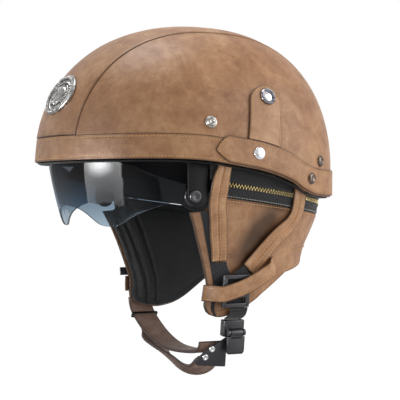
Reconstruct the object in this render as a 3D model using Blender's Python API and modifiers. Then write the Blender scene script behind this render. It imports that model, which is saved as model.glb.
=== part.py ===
# Leather-covered half helmet with a drop-down visor, ear flaps, a zipped neck curtain and a chin strap.
# Metres, +Z up. The front faces -Y and the wearer's left is +X.
# The origin is the middle of the head opening, level with the widest line of the dome.

import math

import bmesh
import bpy
from mathutils import Matrix, Vector

LEFT, RIGHT = 1, -1
SIDES = {"left": LEFT, "right": RIGHT}

# Dome, over the leather
SHELL_HALF_WIDTH = 0.1186
SHELL_FRONT = 0.1482
SHELL_REAR = 0.1358
SHELL_HEIGHT = 0.1389
SKIRT_HEIGHT = 0.305  # how slowly the wall draws in below the widest line
PLAN_POWER = 2.32
RISE_POWER = 2.26

# Clearances
TOUCH = 0.0003
SEAT = 0.0005  # between curved faces, so that their facets stay apart
WALL_SEAT = 0.0012  # on the shell's inner wall
JOIN = 0.0009  # between leather edges that follow the rim
MERGE = 0.00001
CUT_OVERRUN = 0.030

# Rim, as drops below its front height at shares of the way to the front (negative) or the rear
RIM_FRONT_Z = 0.0088
RIM_DROP = 0.033
RIM_DROP_SHARES = (
    (-1.0, 0.02),
    (-0.55, 0.0),
    (-0.28, 0.05),
    (-0.05, 0.20),
    (0.13, 0.33),
    (0.34, 0.59),
    (0.45, 0.82),
    (0.60, 0.98),
    (1.0, 1.0),
)

# Hard shell and leather cover
LEATHER = 0.0014
SHELL_OUT = -0.0026
SHELL_WALL = 0.0042
SHELL_RIM_RISE = 0.0016
BAND_WIDTH = 0.0222
EDGING_RADIUS = 0.0013
SEAM_FRONT_X = 0.0470
SEAM_CROWN_X = 0.0545
SEAM_REAR_X = 0.0600
REAR_BAND_WIDTH = 0.0255
REAR_BAND_RISE = 0.0016
TAB_TIP_Y = -0.0342
TAB_TIP_Z = 0.0167
TAB_SHOULDER_Y = -0.0185
TAB_COLUMN_SHARE = 0.07

# Vent patch and its eyelet
PATCH_FOOT_Y = 0.0150
PATCH_TOP_Y = 0.0230
PATCH_TOP_Z = 0.0760
PATCH_HALF_WIDTH = 0.0170
PATCH_STRAIGHT_SHARE = 0.70
EYELET_RADIUS = 0.0080
EYELET_HEIGHT = 0.0024
EYELET_Z = 0.0655

# Studs and rivets: a flat top, a rounded edge and a flat base
SNAP_RADIUS, SNAP_HEIGHT = 0.0055, 0.0030
SNAP_Y, SNAP_Z = -0.0369, 0.0414
BAND_RIVET_RADIUS, BAND_RIVET_HEIGHT = 0.0058, 0.0018
BAND_RIVET_Y, BAND_RIVET_Z = 0.0085, 0.0143
REAR_RIVET_RADIUS, REAR_RIVET_HEIGHT = 0.0053, 0.0020
REAR_UPPER_Y, REAR_UPPER_Z = 0.0866, 0.0093
REAR_LOWER_Y, REAR_LOWER_Z = 0.0701, -0.0073
FLAT_SHARE = 0.72
STUD_EDGE_SHARE = 0.45
EYELET_RING_SHARES = (0.62, 0.74, 0.86)

# Brow badge, an oval medallion
BADGE_Z = 0.0690
BADGE_HALF_WIDTH = 0.0275
BADGE_HALF_HEIGHT = 0.0180
BADGE_HEIGHT = 0.0030
BADGE_FIELD_HEIGHT = 0.0017
BADGE_CROWN = 0.0009
BADGE_RIM_SHARE = 0.75

# Foam liner and comfort liner, round the head
LINER_SIDE = 0.0371
CAVITY_HALF_WIDTH = SHELL_HALF_WIDTH - LINER_SIDE
CAVITY_FRONT = 0.0980
CAVITY_REAR = 0.0960
CAVITY_HEIGHT = 0.1060
CAVITY_SKIRT = 0.400
CAVITY_RISE_POWER = 2.1
FOAM_RIM_RISE = 0.0042
FOAM_RECESS = 0.0072
RECESS_SHARE = 0.13
COMFORT_THICK = 0.0030
COMFORT_RIM_RISE = 0.0030

# Visor: a curved sheet that leans back towards its lower edge, and turns about a line through the ends of its arms
VISOR_PIVOT_Y = -0.0470
VISOR_PIVOT_Z = -0.0240
VISOR_SIDE_INSET = 0.0150
VISOR_HALF_WIDTH = SHELL_HALF_WIDTH - VISOR_SIDE_INSET
VISOR_FRONT = 0.1362
VISOR_THICK = 0.0020
VISOR_TOP_Z = 0.0105
VISOR_STOW_DEG = 42.0
VISOR_ARM_DROP = 0.0255
VISOR_TOP_SHARES = ((0.0, 0.0), (0.35, 0.0), (0.60, 0.20), (0.80, 0.66), (1.0, 1.0))
VISOR_DROP = 0.0508
VISOR_LOW_SHARES = (
    (0.0, 0.63),
    (0.152, 0.695),
    (0.226, 0.778),
    (0.281, 0.872),
    (0.330, 0.955),
    (0.392, 1.0),
    (0.477, 1.0),
    (0.539, 0.955),
    (0.606, 0.866),
    (0.667, 0.791),
    (0.756, 0.695),
    (0.885, 0.590),
    (1.0, 0.635),
)
VISOR_LEAN = 0.0130
VISOR_LEAN_SHARES = ((0.0, 1.0), (0.45, 1.0), (0.60, 0.72), (0.75, 0.26), (0.86, 0.0), (1.0, 0.0))
VISOR_LEAN_POWER = 1.3
VISOR_HUB_RADIUS = 0.0088
VISOR_HUB_THICK = 0.0026
SLOT_CLEARANCE = 0.0012
SLOT_SIDE_SHARE = 0.88
SLOT_MARGIN_DEG = 3.0
SLOT_TRIES = 6
SLOT_LOW_DEG = 14.0
POCKET_INSET = 0.0174
POCKET_X = VISOR_HALF_WIDTH - POCKET_INSET
POCKET_FRONT_Y = -0.0980
POCKET_REAR_Y = -0.0300
POCKET_HEIGHT = 0.0340
BRACKET_Y = -0.0440
BRACKET_THICK = 0.0022
BRACKET_HALF_WIDTH = 0.0100
BRACKET_TOP_Z = 0.0280
BRACKET_BOSS_Z = 0.0180
BRACKET_BOSS_RADIUS = 0.0050
VISOR_SCREW_RADIUS = 0.0022
VISOR_SCREW_HEAD_RADIUS = 0.0058
VISOR_SCREW_HEAD = 0.0020
RUN_CLEARANCE = 0.0004

# Neck curtain: its half width and its reach to the rear at shares of its depth, as shares of the shell's
CURTAIN_DEPTH = 0.1350
CURTAIN_FRONT = 0.1400
CURTAIN_WIDTH_SHARES = (
    (-0.10, 0.908),
    (0.0, 0.902),
    (0.11, 0.892),
    (0.185, 0.868),
    (0.326, 0.818),
    (0.444, 0.772),
    (0.667, 0.725),
    (0.874, 0.691),
    (1.0, 0.668),
    (1.1, 0.655),
)
CURTAIN_REAR_SHARES = (
    (-0.10, 0.935),
    (0.11, 0.930),
    (0.25, 0.928),
    (0.33, 0.915),
    (0.415, 0.882),
    (0.541, 0.826),
    (0.63, 0.800),
    (1.0, 0.770),
    (1.1, 0.765),
)
FLAP_REAR_Y = 0.0640

# Zipper, on a plane that falls towards the rear
TRACK_Z = -0.0152
TRACK_FALL = 0.0170
TRACK_START_Y = -0.0220
TOOTH_HALF_ROW = 0.0019
TEETH_THICK = 0.0020
TAPE_THICK = 0.0012
TAPE_DROP = 0.0112
CURTAIN_BAND_START_Y = -0.0330
CURTAIN_BAND_RISE = 0.0150
CURTAIN_BAND_INNER_RISE = 0.0085
CURTAIN_BAND_SHOULDER_SHARE = 0.75
SLIDER_REST_Y = -0.0040
SLIDER_LENGTH = 0.0100
SLIDER_WIDTH = 0.0078
SLIDER_THICK = 0.0013
SLIDER_GAP = 0.0008
TRACK_ARC_RADIUS = 0.2074
TRACK_SIDE_SHARE = 0.89713
TRACK_ARC_X = TRACK_ARC_RADIUS - SHELL_HALF_WIDTH * TRACK_SIDE_SHARE
SLIDER_EAR_WIDTH = 0.0009
SLIDER_EAR_HEIGHT = 0.0036
PULL_PIN_RADIUS = 0.0007
PULL_EYE_RADIUS = 0.0022
PULL_EYE_WIDTH = 0.0022
PULL_WIDTH = 0.0050
PULL_LENGTH = 0.0210
PULL_THICK = 0.0012
HANDLE_LENGTH_SHARE = 0.70

# Ear flaps: the leather's edges in shares of the curtain's depth, as (place along the edge, forward, down)
FLAP_FRONT_SHARES = (
    (0.0, -0.363, 0.283),
    (0.20, -0.311, 0.400),
    (0.50, -0.236, 0.610),
    (0.75, -0.187, 0.790),
    (0.92, -0.190, 0.915),
    (1.0, -0.160, 0.970),
)
FLAP_TOP_DROP_SHARES = (
    (-0.363, 0.283),
    (-0.270, 0.272),
    (-0.235, 0.238),
    (-0.205, 0.200),
    (-0.150, 0.186),
)
FLAP_LOW_SHARES = {
    "left": (
        (-0.160, 0.970),
        (-0.085, 0.992),
        (0.0, 0.981),
        (0.105, 0.933),
        (0.205, 0.866),
        (0.260, 0.818),
        (0.370, 0.737),
        (0.474, 0.663),
    ),
    "right": (
        (-0.160, 0.970),
        (-0.075, 0.992),
        (0.03, 1.0),
        (0.105, 0.990),
        (0.185, 0.966),
        (0.275, 0.915),
        (0.415, 0.800),
        (0.474, 0.735),
    ),
}
NECK_LOW_SHARE = 0.626
EDGE_INSET = 0.0012
LINING_GAP = 0.0008
LINING_EDGE_THICK = 0.0022
LINING_CROWN = 0.0058
LINING_CHANNEL_SHARES = (0.22, 0.42)
LINING_CHANNEL_DEPTH = 0.0026
LINING_CHANNEL_WIDTH_SHARE = 0.045
LINING_SWELL_SHARE = 0.22
NECK_LINING_CROWN = 0.0030

# Straps, on routes in shares of the curtain's depth: (forward, down, share of the strap's width)
STRAP_WIDTH = 0.0172
STRAP_THICK = 0.0024
STRAP_LIFT = 0.0009
FRONT_STRAP_SHARES = (
    (-0.152, -0.062, 0.72),
    (-0.152, -0.020, 0.76),
    (-0.176, 0.070, 0.96),
    (-0.183, 0.150, 1.0),
    (-0.181, 0.237, 1.0),
    (-0.160, 0.335, 1.0),
    (-0.141, 0.430, 1.0),
    (-0.125, 0.525, 0.96),
    (-0.118, 0.612, 0.90),
)
REAR_STRAP_SHARES = (
    (0.487, 0.105, 1.0),
    (0.493, 0.175, 1.0),
    (0.493, 0.245, 1.0),
    (0.482, 0.305, 1.0),
    (0.437, 0.372, 1.0),
    (0.348, 0.440, 1.0),
    (0.244, 0.541, 1.0),
    (0.115, 0.678, 1.0),
)
WEBBING_THICK = 0.0014
WEBBING_WIDTH = 0.0160
FRONT_WEBBING_SHARES = ((-0.1172, 0.620, 1.0), (-0.110, 0.665, 1.0), (-0.085, 0.710, 1.0))
REAR_WEBBING_SHARES = ((0.108, 0.685, 1.0), (0.075, 0.715, 1.0), (0.035, 0.740, 1.0))

# Strap adjusters and keeper bands
ADJUSTER_Y = 0.0015
ADJUSTER_DROP_SHARE = 0.8111
ADJUSTER_Z = -CURTAIN_DEPTH * ADJUSTER_DROP_SHARE
ADJUSTER_HALF_WIDTH = 0.0140
ADJUSTER_HALF_HEIGHT = 0.0150
ADJUSTER_THICK = 0.0034
ADJUSTER_LIFT = 0.0046
ADJUSTER_TAB_REACH = 0.0340
ADJUSTER_TAB_HEIGHT = 0.0080
KEEPER_WIDTH = 0.0150
KEEPER_THICK = 0.0016
KEEPER_LIFT = 0.0092
KEEPER_SHARES = (
    (-0.219, 0.822, 1.0),
    (-0.165, 0.826, 1.0),
    (-0.090, 0.829, 1.0),
    (0.0, 0.806, 1.0),
    (0.055, 0.788, 1.0),
    (0.115, 0.763, 1.0),
    (0.175, 0.732, 1.0),
    (0.235, 0.699, 1.0),
    (0.290, 0.668, 1.0),
    (0.345, 0.636, 1.0),
)
KEEPER_FRONT_SHARE = 0.20
KEEPER_REAR_SHARE = 0.15

# Buckle, in a frame that leans with the strap: x along the wearer's front-to-back line, y up, z outwards
BUCKLE_SIDE_SHARE = 0.6239
BUCKLE_DROP_SHARE = 1.0963
BUCKLE_X = SHELL_HALF_WIDTH * BUCKLE_SIDE_SHARE
BUCKLE_Y = 0.0060
BUCKLE_Z = -CURTAIN_DEPTH * BUCKLE_DROP_SHARE
CHIN_SIDE_SHARE = 0.7420
CHIN_HINGE_DROP = 0.0167
CHIN_SPAN = SHELL_HALF_WIDTH * CHIN_SIDE_SHARE
CHIN_HINGE_X = -CHIN_SPAN
CHIN_HINGE_Z = ADJUSTER_Z - CHIN_HINGE_DROP
TONGUE_WIDTH = 0.0134
TONGUE_THICK = 0.0022
TONGUE_REACH = 0.0085
BODY_WIDTH = 0.0212
BODY_THICK = 0.0076
BODY_TOP = 0.0112
BODY_BOTTOM = -0.0040
BUCKLE_CLEARANCE = 0.0006
BUCKLE_CORNER = 0.0012
EAR_THICK = 0.0026
EAR_RADIUS = 0.0030
LEVER_PIN_RADIUS = 0.0011
LEVER_PIN_Y = 0.0006
LEVER_PIN_Z = 0.0078
LEVER_WIDTH = 0.0180
LEVER_LENGTH = 0.0200
LEVER_THICK = 0.0030
LEVER_NECK_SHARE = 0.90
PLATE_LOW = -0.0325
PLATE_FRONT = -0.0380
PLATE_REAR = -0.0050
TONGUE_SHARES = (
    (0.0, 1.0),
    (1.0, 1.0),
    (1.0, 0.0),
    (0.0, -0.40),
    (0.0, -1.0),
    (-0.20, -1.0),
    (-0.88, -0.92),
    (-1.0, -0.80),
    (-0.62, -0.36),
    (-0.50, -0.29),
    (0.0, -0.06),
)
STEP_SHARE = 0.30
CHIN_RIVET_RADIUS = 0.0030
CHIN_RIVET_HEIGHT = 0.0015
UPPER_RIVET_X, UPPER_RIVET_Y = -0.0205, -0.0152
LOWER_RIVET_X, LOWER_RIVET_Y = -0.0270, -0.0225
LOWER_WEBBING_WIDTH = 0.0180
WEBBING_BEND_SHARE = 0.75

# Chin strap and pad: routes across, as shares of the span and the drop, with the pad's tilt in degrees
CHIN_STRAP_WIDTH = 0.0250
CHIN_STRAP_THICK = 0.0028
CHIN_STRAP_Y = -0.0110
CHIN_DROP = 0.0620
CHIN_STRAP_SHARES = (
    (-1.0, -0.014),
    (-0.985, 0.08),
    (-0.93, 0.20),
    (-0.76, 0.37),
    (-0.50, 0.55),
    (-0.20, 0.67),
    (0.10, 0.70),
    (0.40, 0.685),
    (0.62, 0.65),
    (0.715, 0.585),
    (0.742, 0.50),
)
CHIN_PAD_SHARES = (
    (-0.72, 0.47, 0.0),
    (-0.56, 0.63, 10.0),
    (-0.36, 0.78, 30.0),
    (-0.12, 0.88, 44.0),
    (0.12, 0.94, 42.0),
    (0.36, 0.955, 26.0),
    (0.56, 0.905, 10.0),
    (0.665, 0.815, 2.0),
    (0.712, 0.72, 0.0),
)
CHIN_PAD_Y = -0.0140
CHIN_PAD_WIDTH = 0.0250
KEEPER_LOOP_SHARE = 0.24
KEEPER_LOOP_THICK = 0.0012
KEEPER_LOOP_HEIGHT = 0.0030

PARTS = bpy.data.collections.new("leather_half_helmet")
CUTTERS = bpy.data.collections.new("cutters")


def clear_scene():
    for item in list(bpy.data.objects):
        bpy.data.objects.remove(item)
    for collection in (PARTS, CUTTERS):
        bpy.context.scene.collection.children.link(collection)
    CUTTERS.hide_render = True


def finish(name, colour, roughness, metallic=0.0, alpha=1.0):
    material = bpy.data.materials.new(name)
    material.use_nodes = True
    shader = material.node_tree.nodes["Principled BSDF"]
    shader.inputs["Base Color"].default_value = (*colour, 1.0)
    shader.inputs["Roughness"].default_value = roughness
    shader.inputs["Metallic"].default_value = metallic
    shader.inputs["Alpha"].default_value = alpha
    return material


def make_finishes():
    return {
        "shell": finish("moulded_shell", (0.02, 0.02, 0.022), 0.45),
        "leather": finish("brown_leather", (0.39, 0.21, 0.10), 0.55),
        "dark_leather": finish("chin_leather", (0.26, 0.13, 0.065), 0.6),
        "foam": finish("grey_foam", (0.06, 0.06, 0.065), 0.95),
        "fabric": finish("black_fabric", (0.012, 0.012, 0.014), 0.9),
        "lens": finish("smoke_lens", (0.05, 0.07, 0.09), 0.05, alpha=0.55),
        "plastic": finish("black_plastic", (0.025, 0.025, 0.03), 0.4),
        "chrome": finish("polished_chrome", (0.78, 0.78, 0.8), 0.12, metallic=1.0),
        "nickel": finish("dark_nickel", (0.35, 0.33, 0.32), 0.3, metallic=1.0),
        "brass": finish("brass", (0.62, 0.45, 0.16), 0.35, metallic=1.0),
        "webbing": finish("black_webbing", (0.015, 0.015, 0.018), 0.85),
        "pewter": finish("aged_pewter", (0.30, 0.29, 0.28), 0.35, metallic=1.0),
    }


def add_object(name, mesh, material, collection=None):
    part = bpy.data.objects.new(name, mesh)
    if material:
        mesh.materials.append(material)
    (collection or PARTS).objects.link(part)
    return part


def add_mesh(name, bm, material, collection=None):
    mesh = bpy.data.meshes.new(name)
    bm.to_mesh(mesh)
    bm.free()
    return add_object(name, mesh, material, collection)


def slab(name, material, columns, rows, face, back, collection=None):
    # A closed sheet between two faces, each a function of two shares that run from 0 to 1
    bm = bmesh.new()
    share = bm.verts.layers.float_vector.new("share")
    bmesh.ops.create_grid(bm, x_segments=columns, y_segments=rows, size=0.5)
    for vert in bm.verts:
        vert[share] = (vert.co.x + 0.5, vert.co.y + 0.5, 0)
    for vert in bm.verts:
        vert.co = face(vert[share].x, vert[share].y)
    bmesh.ops.remove_doubles(bm, verts=bm.verts[:], dist=MERGE)
    lifted = bmesh.ops.extrude_face_region(bm, geom=bm.faces[:])["geom"]
    for vert in lifted:
        if isinstance(vert, bmesh.types.BMVert):
            vert.co = back(vert[share].x, vert[share].y)
    bmesh.ops.recalc_face_normals(bm, faces=bm.faces[:])
    part = add_mesh(name, bm, material, collection)
    smooth(part)
    return part


def smooth(part, limit_deg=35):
    part.data.shade_smooth()
    part.data.set_sharp_from_angle(angle=math.radians(limit_deg))


def lathe(name, material, profile, steps=16):
    # The profile starts and ends on the axis, and runs down the outer side
    bm = bmesh.new()
    verts = [bm.verts.new((radius, 0, height)) for radius, height in profile]
    for start, end in zip(verts, verts[1:]):
        bm.edges.new((start, end))
    part = add_mesh(name, bm, material)
    screw = part.modifiers.new("turn", "SCREW")
    screw.axis = "Z"
    screw.steps = screw.render_steps = steps
    screw.use_merge_vertices = True
    screw.merge_threshold = MERGE
    screw.use_smooth_shade = False
    return part


def box(name, material, size, centre, collection=None):
    bm = bmesh.new()
    bmesh.ops.create_cube(bm, size=1.0)
    for vert in bm.verts:
        vert.co = Vector(a * b for a, b in zip(vert.co, size)) + Vector(centre)
    return add_mesh(name, bm, material, collection)


def cylinder(name, material, radius, length, matrix, segments=20, collection=None):
    bm = bmesh.new()
    bmesh.ops.create_cone(
        bm, cap_ends=True, segments=segments, radius1=radius, radius2=radius, depth=length
    )
    bmesh.ops.transform(bm, matrix=matrix, verts=bm.verts[:])
    bmesh.ops.recalc_face_normals(bm, faces=bm.faces[:])
    return add_mesh(name, bm, material, collection)


def bevel(part, width, segments=2):
    modifier = part.modifiers.new("round", "BEVEL")
    modifier.width = width
    modifier.segments = segments
    modifier.limit_method = "ANGLE"


def boolean(part, other, operation):
    modifier = part.modifiers.new(operation.lower(), "BOOLEAN")
    modifier.operation = operation
    modifier.object = other
    other.hide_render = True
    other.display_type = "WIRE"


def parent_to(empty, *parts):
    for part in parts:
        part.parent = empty
        part.matrix_parent_inverse = empty.matrix_world.inverted()


def add_empty(name, matrix):
    empty = bpy.data.objects.new(name, None)
    PARTS.objects.link(empty)
    empty.matrix_world = matrix
    bpy.context.view_layer.update()
    return empty


def mix(start, end, share):
    return start + (end - start) * share


def follow(table, at):
    # Reads a smooth curve through a table whose rows start with their place
    places = [row[0] for row in table]
    at = min(max(at, places[0]), places[-1])
    step = next(i for i in range(len(table) - 1) if at <= places[i + 1])
    before, start = table[max(step - 1, 0)], table[step]
    end, after = table[step + 1], table[min(step + 2, len(table) - 1)]
    width = end[0] - start[0]
    t = (at - start[0]) / width
    values = []
    for i in range(1, len(start)):
        slope_in = (end[i] - before[i]) / (end[0] - before[0]) * width
        slope_out = (after[i] - start[i]) / (after[0] - start[0]) * width
        values.append(
            start[i] * (2 * t**3 - 3 * t**2 + 1)
            + slope_in * (t**3 - 2 * t**2 + t)
            + end[i] * (3 * t**2 - 2 * t**3)
            + slope_out * (t**3 - t**2)
        )
    return values[0] if len(values) == 1 else values


def signed_power(value, power):
    return math.copysign(abs(value) ** power, value)


def plan_point(angle, half_width, front, rear):
    # A point of the rounded-oval plan; the angle is 0 at the front and a quarter turn at the left
    across = signed_power(math.sin(angle), 2 / PLAN_POWER)
    along = -signed_power(math.cos(angle), 2 / PLAN_POWER)
    return half_width * across, along * (front if along < 0 else rear)


def plan_angle(y, front, rear):
    share = y / (front if y < 0 else rear)
    return math.acos(-signed_power(share, PLAN_POWER / 2))


def egg_value(point, half_width, front, rear, height, skirt, rise_power=RISE_POWER):
    across = abs(point.x) / half_width
    along = abs(point.y) / (front if point.y < 0 else rear)
    up = abs(point.z) / (height if point.z >= 0 else skirt)
    return (across**PLAN_POWER + along**PLAN_POWER) ** (rise_power / PLAN_POWER) + up**rise_power


def on_egg(point, half_width, front, rear, height, skirt, rise_power=RISE_POWER):
    value = egg_value(point, half_width, front, rear, height, skirt, rise_power)
    return point * value ** (-1 / rise_power)


def skin(point, out):
    # The same direction on the dome grown by out
    sizes = (SHELL_HALF_WIDTH, SHELL_FRONT, SHELL_REAR, SHELL_HEIGHT)
    return on_egg(point, *(size + out for size in sizes), SKIRT_HEIGHT)


def cavity(point, out):
    sizes = (CAVITY_HALF_WIDTH, CAVITY_FRONT, CAVITY_REAR, CAVITY_HEIGHT)
    return on_egg(point, *(size + out for size in sizes), CAVITY_SKIRT, CAVITY_RISE_POWER)


def draw_in(z):
    height = SHELL_HEIGHT if z >= 0 else SKIRT_HEIGHT
    return (1 - abs(z / height) ** RISE_POWER) ** (1 / RISE_POWER)


def on_shell(angle, z):
    x, y = plan_point(angle, SHELL_HALF_WIDTH, SHELL_FRONT, SHELL_REAR)
    return Vector((x * draw_in(z), y * draw_in(z), z))


def shell_side(y, z, side):
    # The point of the dome's side at this place
    along = abs(y) / (SHELL_FRONT if y < 0 else SHELL_REAR)
    left_over = draw_in(z) ** PLAN_POWER - along**PLAN_POWER
    return Vector((side * SHELL_HALF_WIDTH * left_over ** (1 / PLAN_POWER), y, z))


def shell_end(x, z, end):
    # The point of the dome's front (-1) or rear (1) at this place
    left_over = draw_in(z) ** PLAN_POWER - abs(x / SHELL_HALF_WIDTH) ** PLAN_POWER
    reach = SHELL_FRONT if end < 0 else SHELL_REAR
    return Vector((x, end * reach * left_over ** (1 / PLAN_POWER), z))


def shell_normal(point):
    sizes = (SHELL_HALF_WIDTH, SHELL_FRONT, SHELL_REAR, SHELL_HEIGHT, SKIRT_HEIGHT)
    steps = (Vector((LEATHER, 0, 0)), Vector((0, LEATHER, 0)), Vector((0, 0, LEATHER)))

    def value(offset):
        return egg_value(point + offset, *sizes)

    return Vector(value(offset) - value(-offset) for offset in steps).normalized()


def rim_height(y):
    share = y / (SHELL_FRONT if y < 0 else SHELL_REAR)
    return RIM_FRONT_Z - RIM_DROP * follow(RIM_DROP_SHARES, share)


def band_top(y):
    return rim_height(y) + BAND_WIDTH


def rim_point(angle, rise):
    y = plan_point(angle, SHELL_HALF_WIDTH, SHELL_FRONT, SHELL_REAR)[1]
    return on_shell(angle, rim_height(y) + rise)


def cap_point(u, v, rise):
    # Covers the whole dome: u goes round, v climbs from the rim to the crown
    foot = rim_point(2 * math.pi * u, rise)
    climb = v * math.pi / 2
    return foot * math.cos(climb) + Vector((0, 0, SHELL_HEIGHT)) * math.sin(climb)


def make_shell(finishes):
    def face(u, v):
        return skin(cap_point(u, v, SHELL_RIM_RISE), SHELL_OUT)

    def back(u, v):
        return skin(cap_point(u, v, SHELL_RIM_RISE), SHELL_OUT - SHELL_WALL)

    return slab("outer_shell", finishes["shell"], 36, 8, face, back)


def seam_half(share):
    # How far the crown strip's edge lies from the middle, from the front (0) to the rear (1)
    ends = mix(SEAM_FRONT_X, SEAM_REAR_X, share)
    middle = (SEAM_FRONT_X + SEAM_REAR_X) / 2
    return ends + (SEAM_CROWN_X - middle) * 4 * share * (1 - share)


def end_angle(x, end):
    # The climb, seen from the side, at which the strip at this x meets the band
    y = end * (SHELL_FRONT if end < 0 else SHELL_REAR)
    z = band_top(y) + SEAT
    for _ in range(4):
        point = shell_end(x, z, end)
        z = band_top(point.y) + SEAT
    return math.atan2(z, abs(point.y))


def crown_point(across, share):
    # A point of the dome at a share of the seam's distance from the middle
    front = end_angle(across * seam_half(0), -1)
    rear = end_angle(across * seam_half(1), 1)
    climb = mix(front, math.pi - rear, share)
    x = across * seam_half(share)
    sizes = (SHELL_HALF_WIDTH, SHELL_FRONT, SHELL_REAR, SHELL_HEIGHT, SKIRT_HEIGHT)
    low, high = 0.0, 2 * SHELL_FRONT
    for _ in range(40):
        reach = (low + high) / 2
        point = Vector((x, -reach * math.cos(climb), reach * math.sin(climb)))
        inside = egg_value(point, *sizes) < 1
        low, high = (reach, high) if inside else (low, reach)
    return point


def make_panels(finishes):
    def strip_face(u, v):
        edge = 1 - TOUCH / SEAM_CROWN_X
        return crown_point((2 * u - 1) * edge, v)

    slab(
        "crown_strip",
        finishes["leather"],
        8,
        22,
        strip_face,
        lambda u, v: skin(strip_face(u, v), -LEATHER),
    )
    for name, side in SIDES.items():

        def panel_face(u, v, side=side):
            seam = crown_point(1 + TOUCH / SEAM_CROWN_X, u)
            front, rear = crown_point(1, 0), crown_point(1, 1)
            start = plan_angle(front.y / draw_in(front.z), SHELL_FRONT, SHELL_REAR)
            end = plan_angle(rear.y / draw_in(rear.z), SHELL_FRONT, SHELL_REAR)
            foot = rim_point(mix(start, end, u), BAND_WIDTH + JOIN)
            point = skin(foot.lerp(seam, v), 0)
            return Vector((side * point.x, point.y, point.z))

        slab(
            f"side_panel_{name}",
            finishes["leather"],
            16,
            7,
            panel_face,
            lambda u, v, face=panel_face: skin(face(u, v), -LEATHER),
        )


def make_rim(finishes):
    def band_face(u, v):
        return rim_point(2 * math.pi * u, BAND_WIDTH * v)

    slab(
        "rim_band",
        finishes["leather"],
        52,
        2,
        band_face,
        lambda u, v: skin(band_face(u, v), -LEATHER),
    )
    tip = plan_angle(TAB_TIP_Y, SHELL_FRONT, SHELL_REAR)
    shoulder = plan_angle(TAB_SHOULDER_Y, SHELL_FRONT, SHELL_REAR)

    def rear_face(u, v):
        near_end = min(u, 1 - u)
        if near_end < TAB_COLUMN_SHARE:
            angle = mix(tip, shoulder, near_end / TAB_COLUMN_SHARE)
        else:
            angle = mix(shoulder, math.pi, (near_end - TAB_COLUMN_SHARE) / (0.5 - TAB_COLUMN_SHARE))
        opening = min(near_end / TAB_COLUMN_SHARE, 1)
        if u > 0.5:
            angle = 2 * math.pi - angle
        foot = rim_point(angle, REAR_BAND_RISE)
        top = rim_point(angle, REAR_BAND_WIDTH)
        z = mix(mix(TAB_TIP_Z, foot.z, opening), mix(TAB_TIP_Z, top.z, opening), v)
        return on_shell(angle, z)

    slab(
        "rear_band",
        finishes["leather"],
        50,
        2,
        lambda u, v: skin(rear_face(u, v), TOUCH + LEATHER),
        lambda u, v: skin(rear_face(u, v), TOUCH),
    )

    def edging_point(u, v, radius):
        angle = 2 * math.pi * u
        turn = 2 * math.pi * v
        middle = rim_point(angle, -EDGING_RADIUS + SHELL_RIM_RISE - WALL_SEAT)
        out = SHELL_OUT - SHELL_WALL / 2 + 2 * radius * math.cos(turn)
        return skin(middle + Vector((0, 0, radius * math.sin(turn))), out)

    bm = bmesh.new()
    bmesh.ops.create_grid(bm, x_segments=40, y_segments=4, size=0.5)
    for vert in bm.verts:
        vert.co = edging_point(vert.co.x + 0.5, vert.co.y + 0.5, EDGING_RADIUS)
    bmesh.ops.remove_doubles(bm, verts=bm.verts[:], dist=MERGE)
    bmesh.ops.recalc_face_normals(bm, faces=bm.faces[:])
    smooth(add_mesh("rim_edging", bm, finishes["shell"]))


def make_vent_patches(finishes):
    for name, side in SIDES.items():

        def face(u, v, side=side):
            round_top = max(v - PATCH_STRAIGHT_SHARE, 0) / (1 - PATCH_STRAIGHT_SHARE)
            half = PATCH_HALF_WIDTH * math.sqrt(max(1 - round_top**2, 0))
            y = mix(PATCH_FOOT_Y, PATCH_TOP_Y, v) + (2 * u - 1) * half
            foot = rim_height(y) + REAR_BAND_WIDTH + SEAT
            return shell_side(y, mix(foot, PATCH_TOP_Z, v), side)

        slab(
            f"vent_patch_{name}",
            finishes["leather"],
            6,
            9,
            lambda u, v, face=face: skin(face(u, v), SEAT + LEATHER),
            lambda u, v, face=face: skin(face(u, v), SEAT),
        )


def stud_profile(radius, height):
    return (
        (0, height),
        (radius * FLAT_SHARE, height),
        (radius, height * STUD_EDGE_SHARE),
        (radius, 0),
        (0, 0),
    )


def eyelet_profile():
    well = EYELET_HEIGHT / 3
    inner, rising, falling = EYELET_RING_SHARES
    return (
        (0, well),
        (EYELET_RADIUS * inner, well),
        (EYELET_RADIUS * rising, EYELET_HEIGHT),
        (EYELET_RADIUS * falling, EYELET_HEIGHT),
        (EYELET_RADIUS, well),
        (EYELET_RADIUS, 0),
        (0, 0),
    )


def stand_on_shell(part, y, z, side, out):
    point = shell_side(y, z, side)
    normal = shell_normal(point)
    turn = normal.to_track_quat("Z", "Y").to_matrix().to_4x4()
    part.matrix_world = Matrix.Translation(point + normal * out) @ turn


def make_studs(finishes):
    on_band = 2 * TOUCH + LEATHER
    snap = stud_profile(SNAP_RADIUS, SNAP_HEIGHT)
    band_rivet = stud_profile(BAND_RIVET_RADIUS, BAND_RIVET_HEIGHT)
    rear_rivet = stud_profile(REAR_RIVET_RADIUS, REAR_RIVET_HEIGHT)
    studs = (
        ("snap_stud", "chrome", snap, SNAP_Y, SNAP_Z, TOUCH),
        ("band_rivet", "chrome", band_rivet, BAND_RIVET_Y, BAND_RIVET_Z, on_band),
        ("rear_rivet_upper", "nickel", rear_rivet, REAR_UPPER_Y, REAR_UPPER_Z, TOUCH),
        ("rear_rivet_lower", "nickel", rear_rivet, REAR_LOWER_Y, REAR_LOWER_Z, on_band),
    )
    for name, side in SIDES.items():
        for kind, material, profile, y, z, out in studs:
            stud = lathe(f"{kind}_{name}", finishes[material], profile)
            stand_on_shell(stud, y, z, side, out)
        eyelet = lathe(f"vent_eyelet_{name}", finishes["chrome"], eyelet_profile(), 20)
        stand_on_shell(eyelet, PATCH_TOP_Y, EYELET_Z, side, SEAT + LEATHER + TOUCH)


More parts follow.
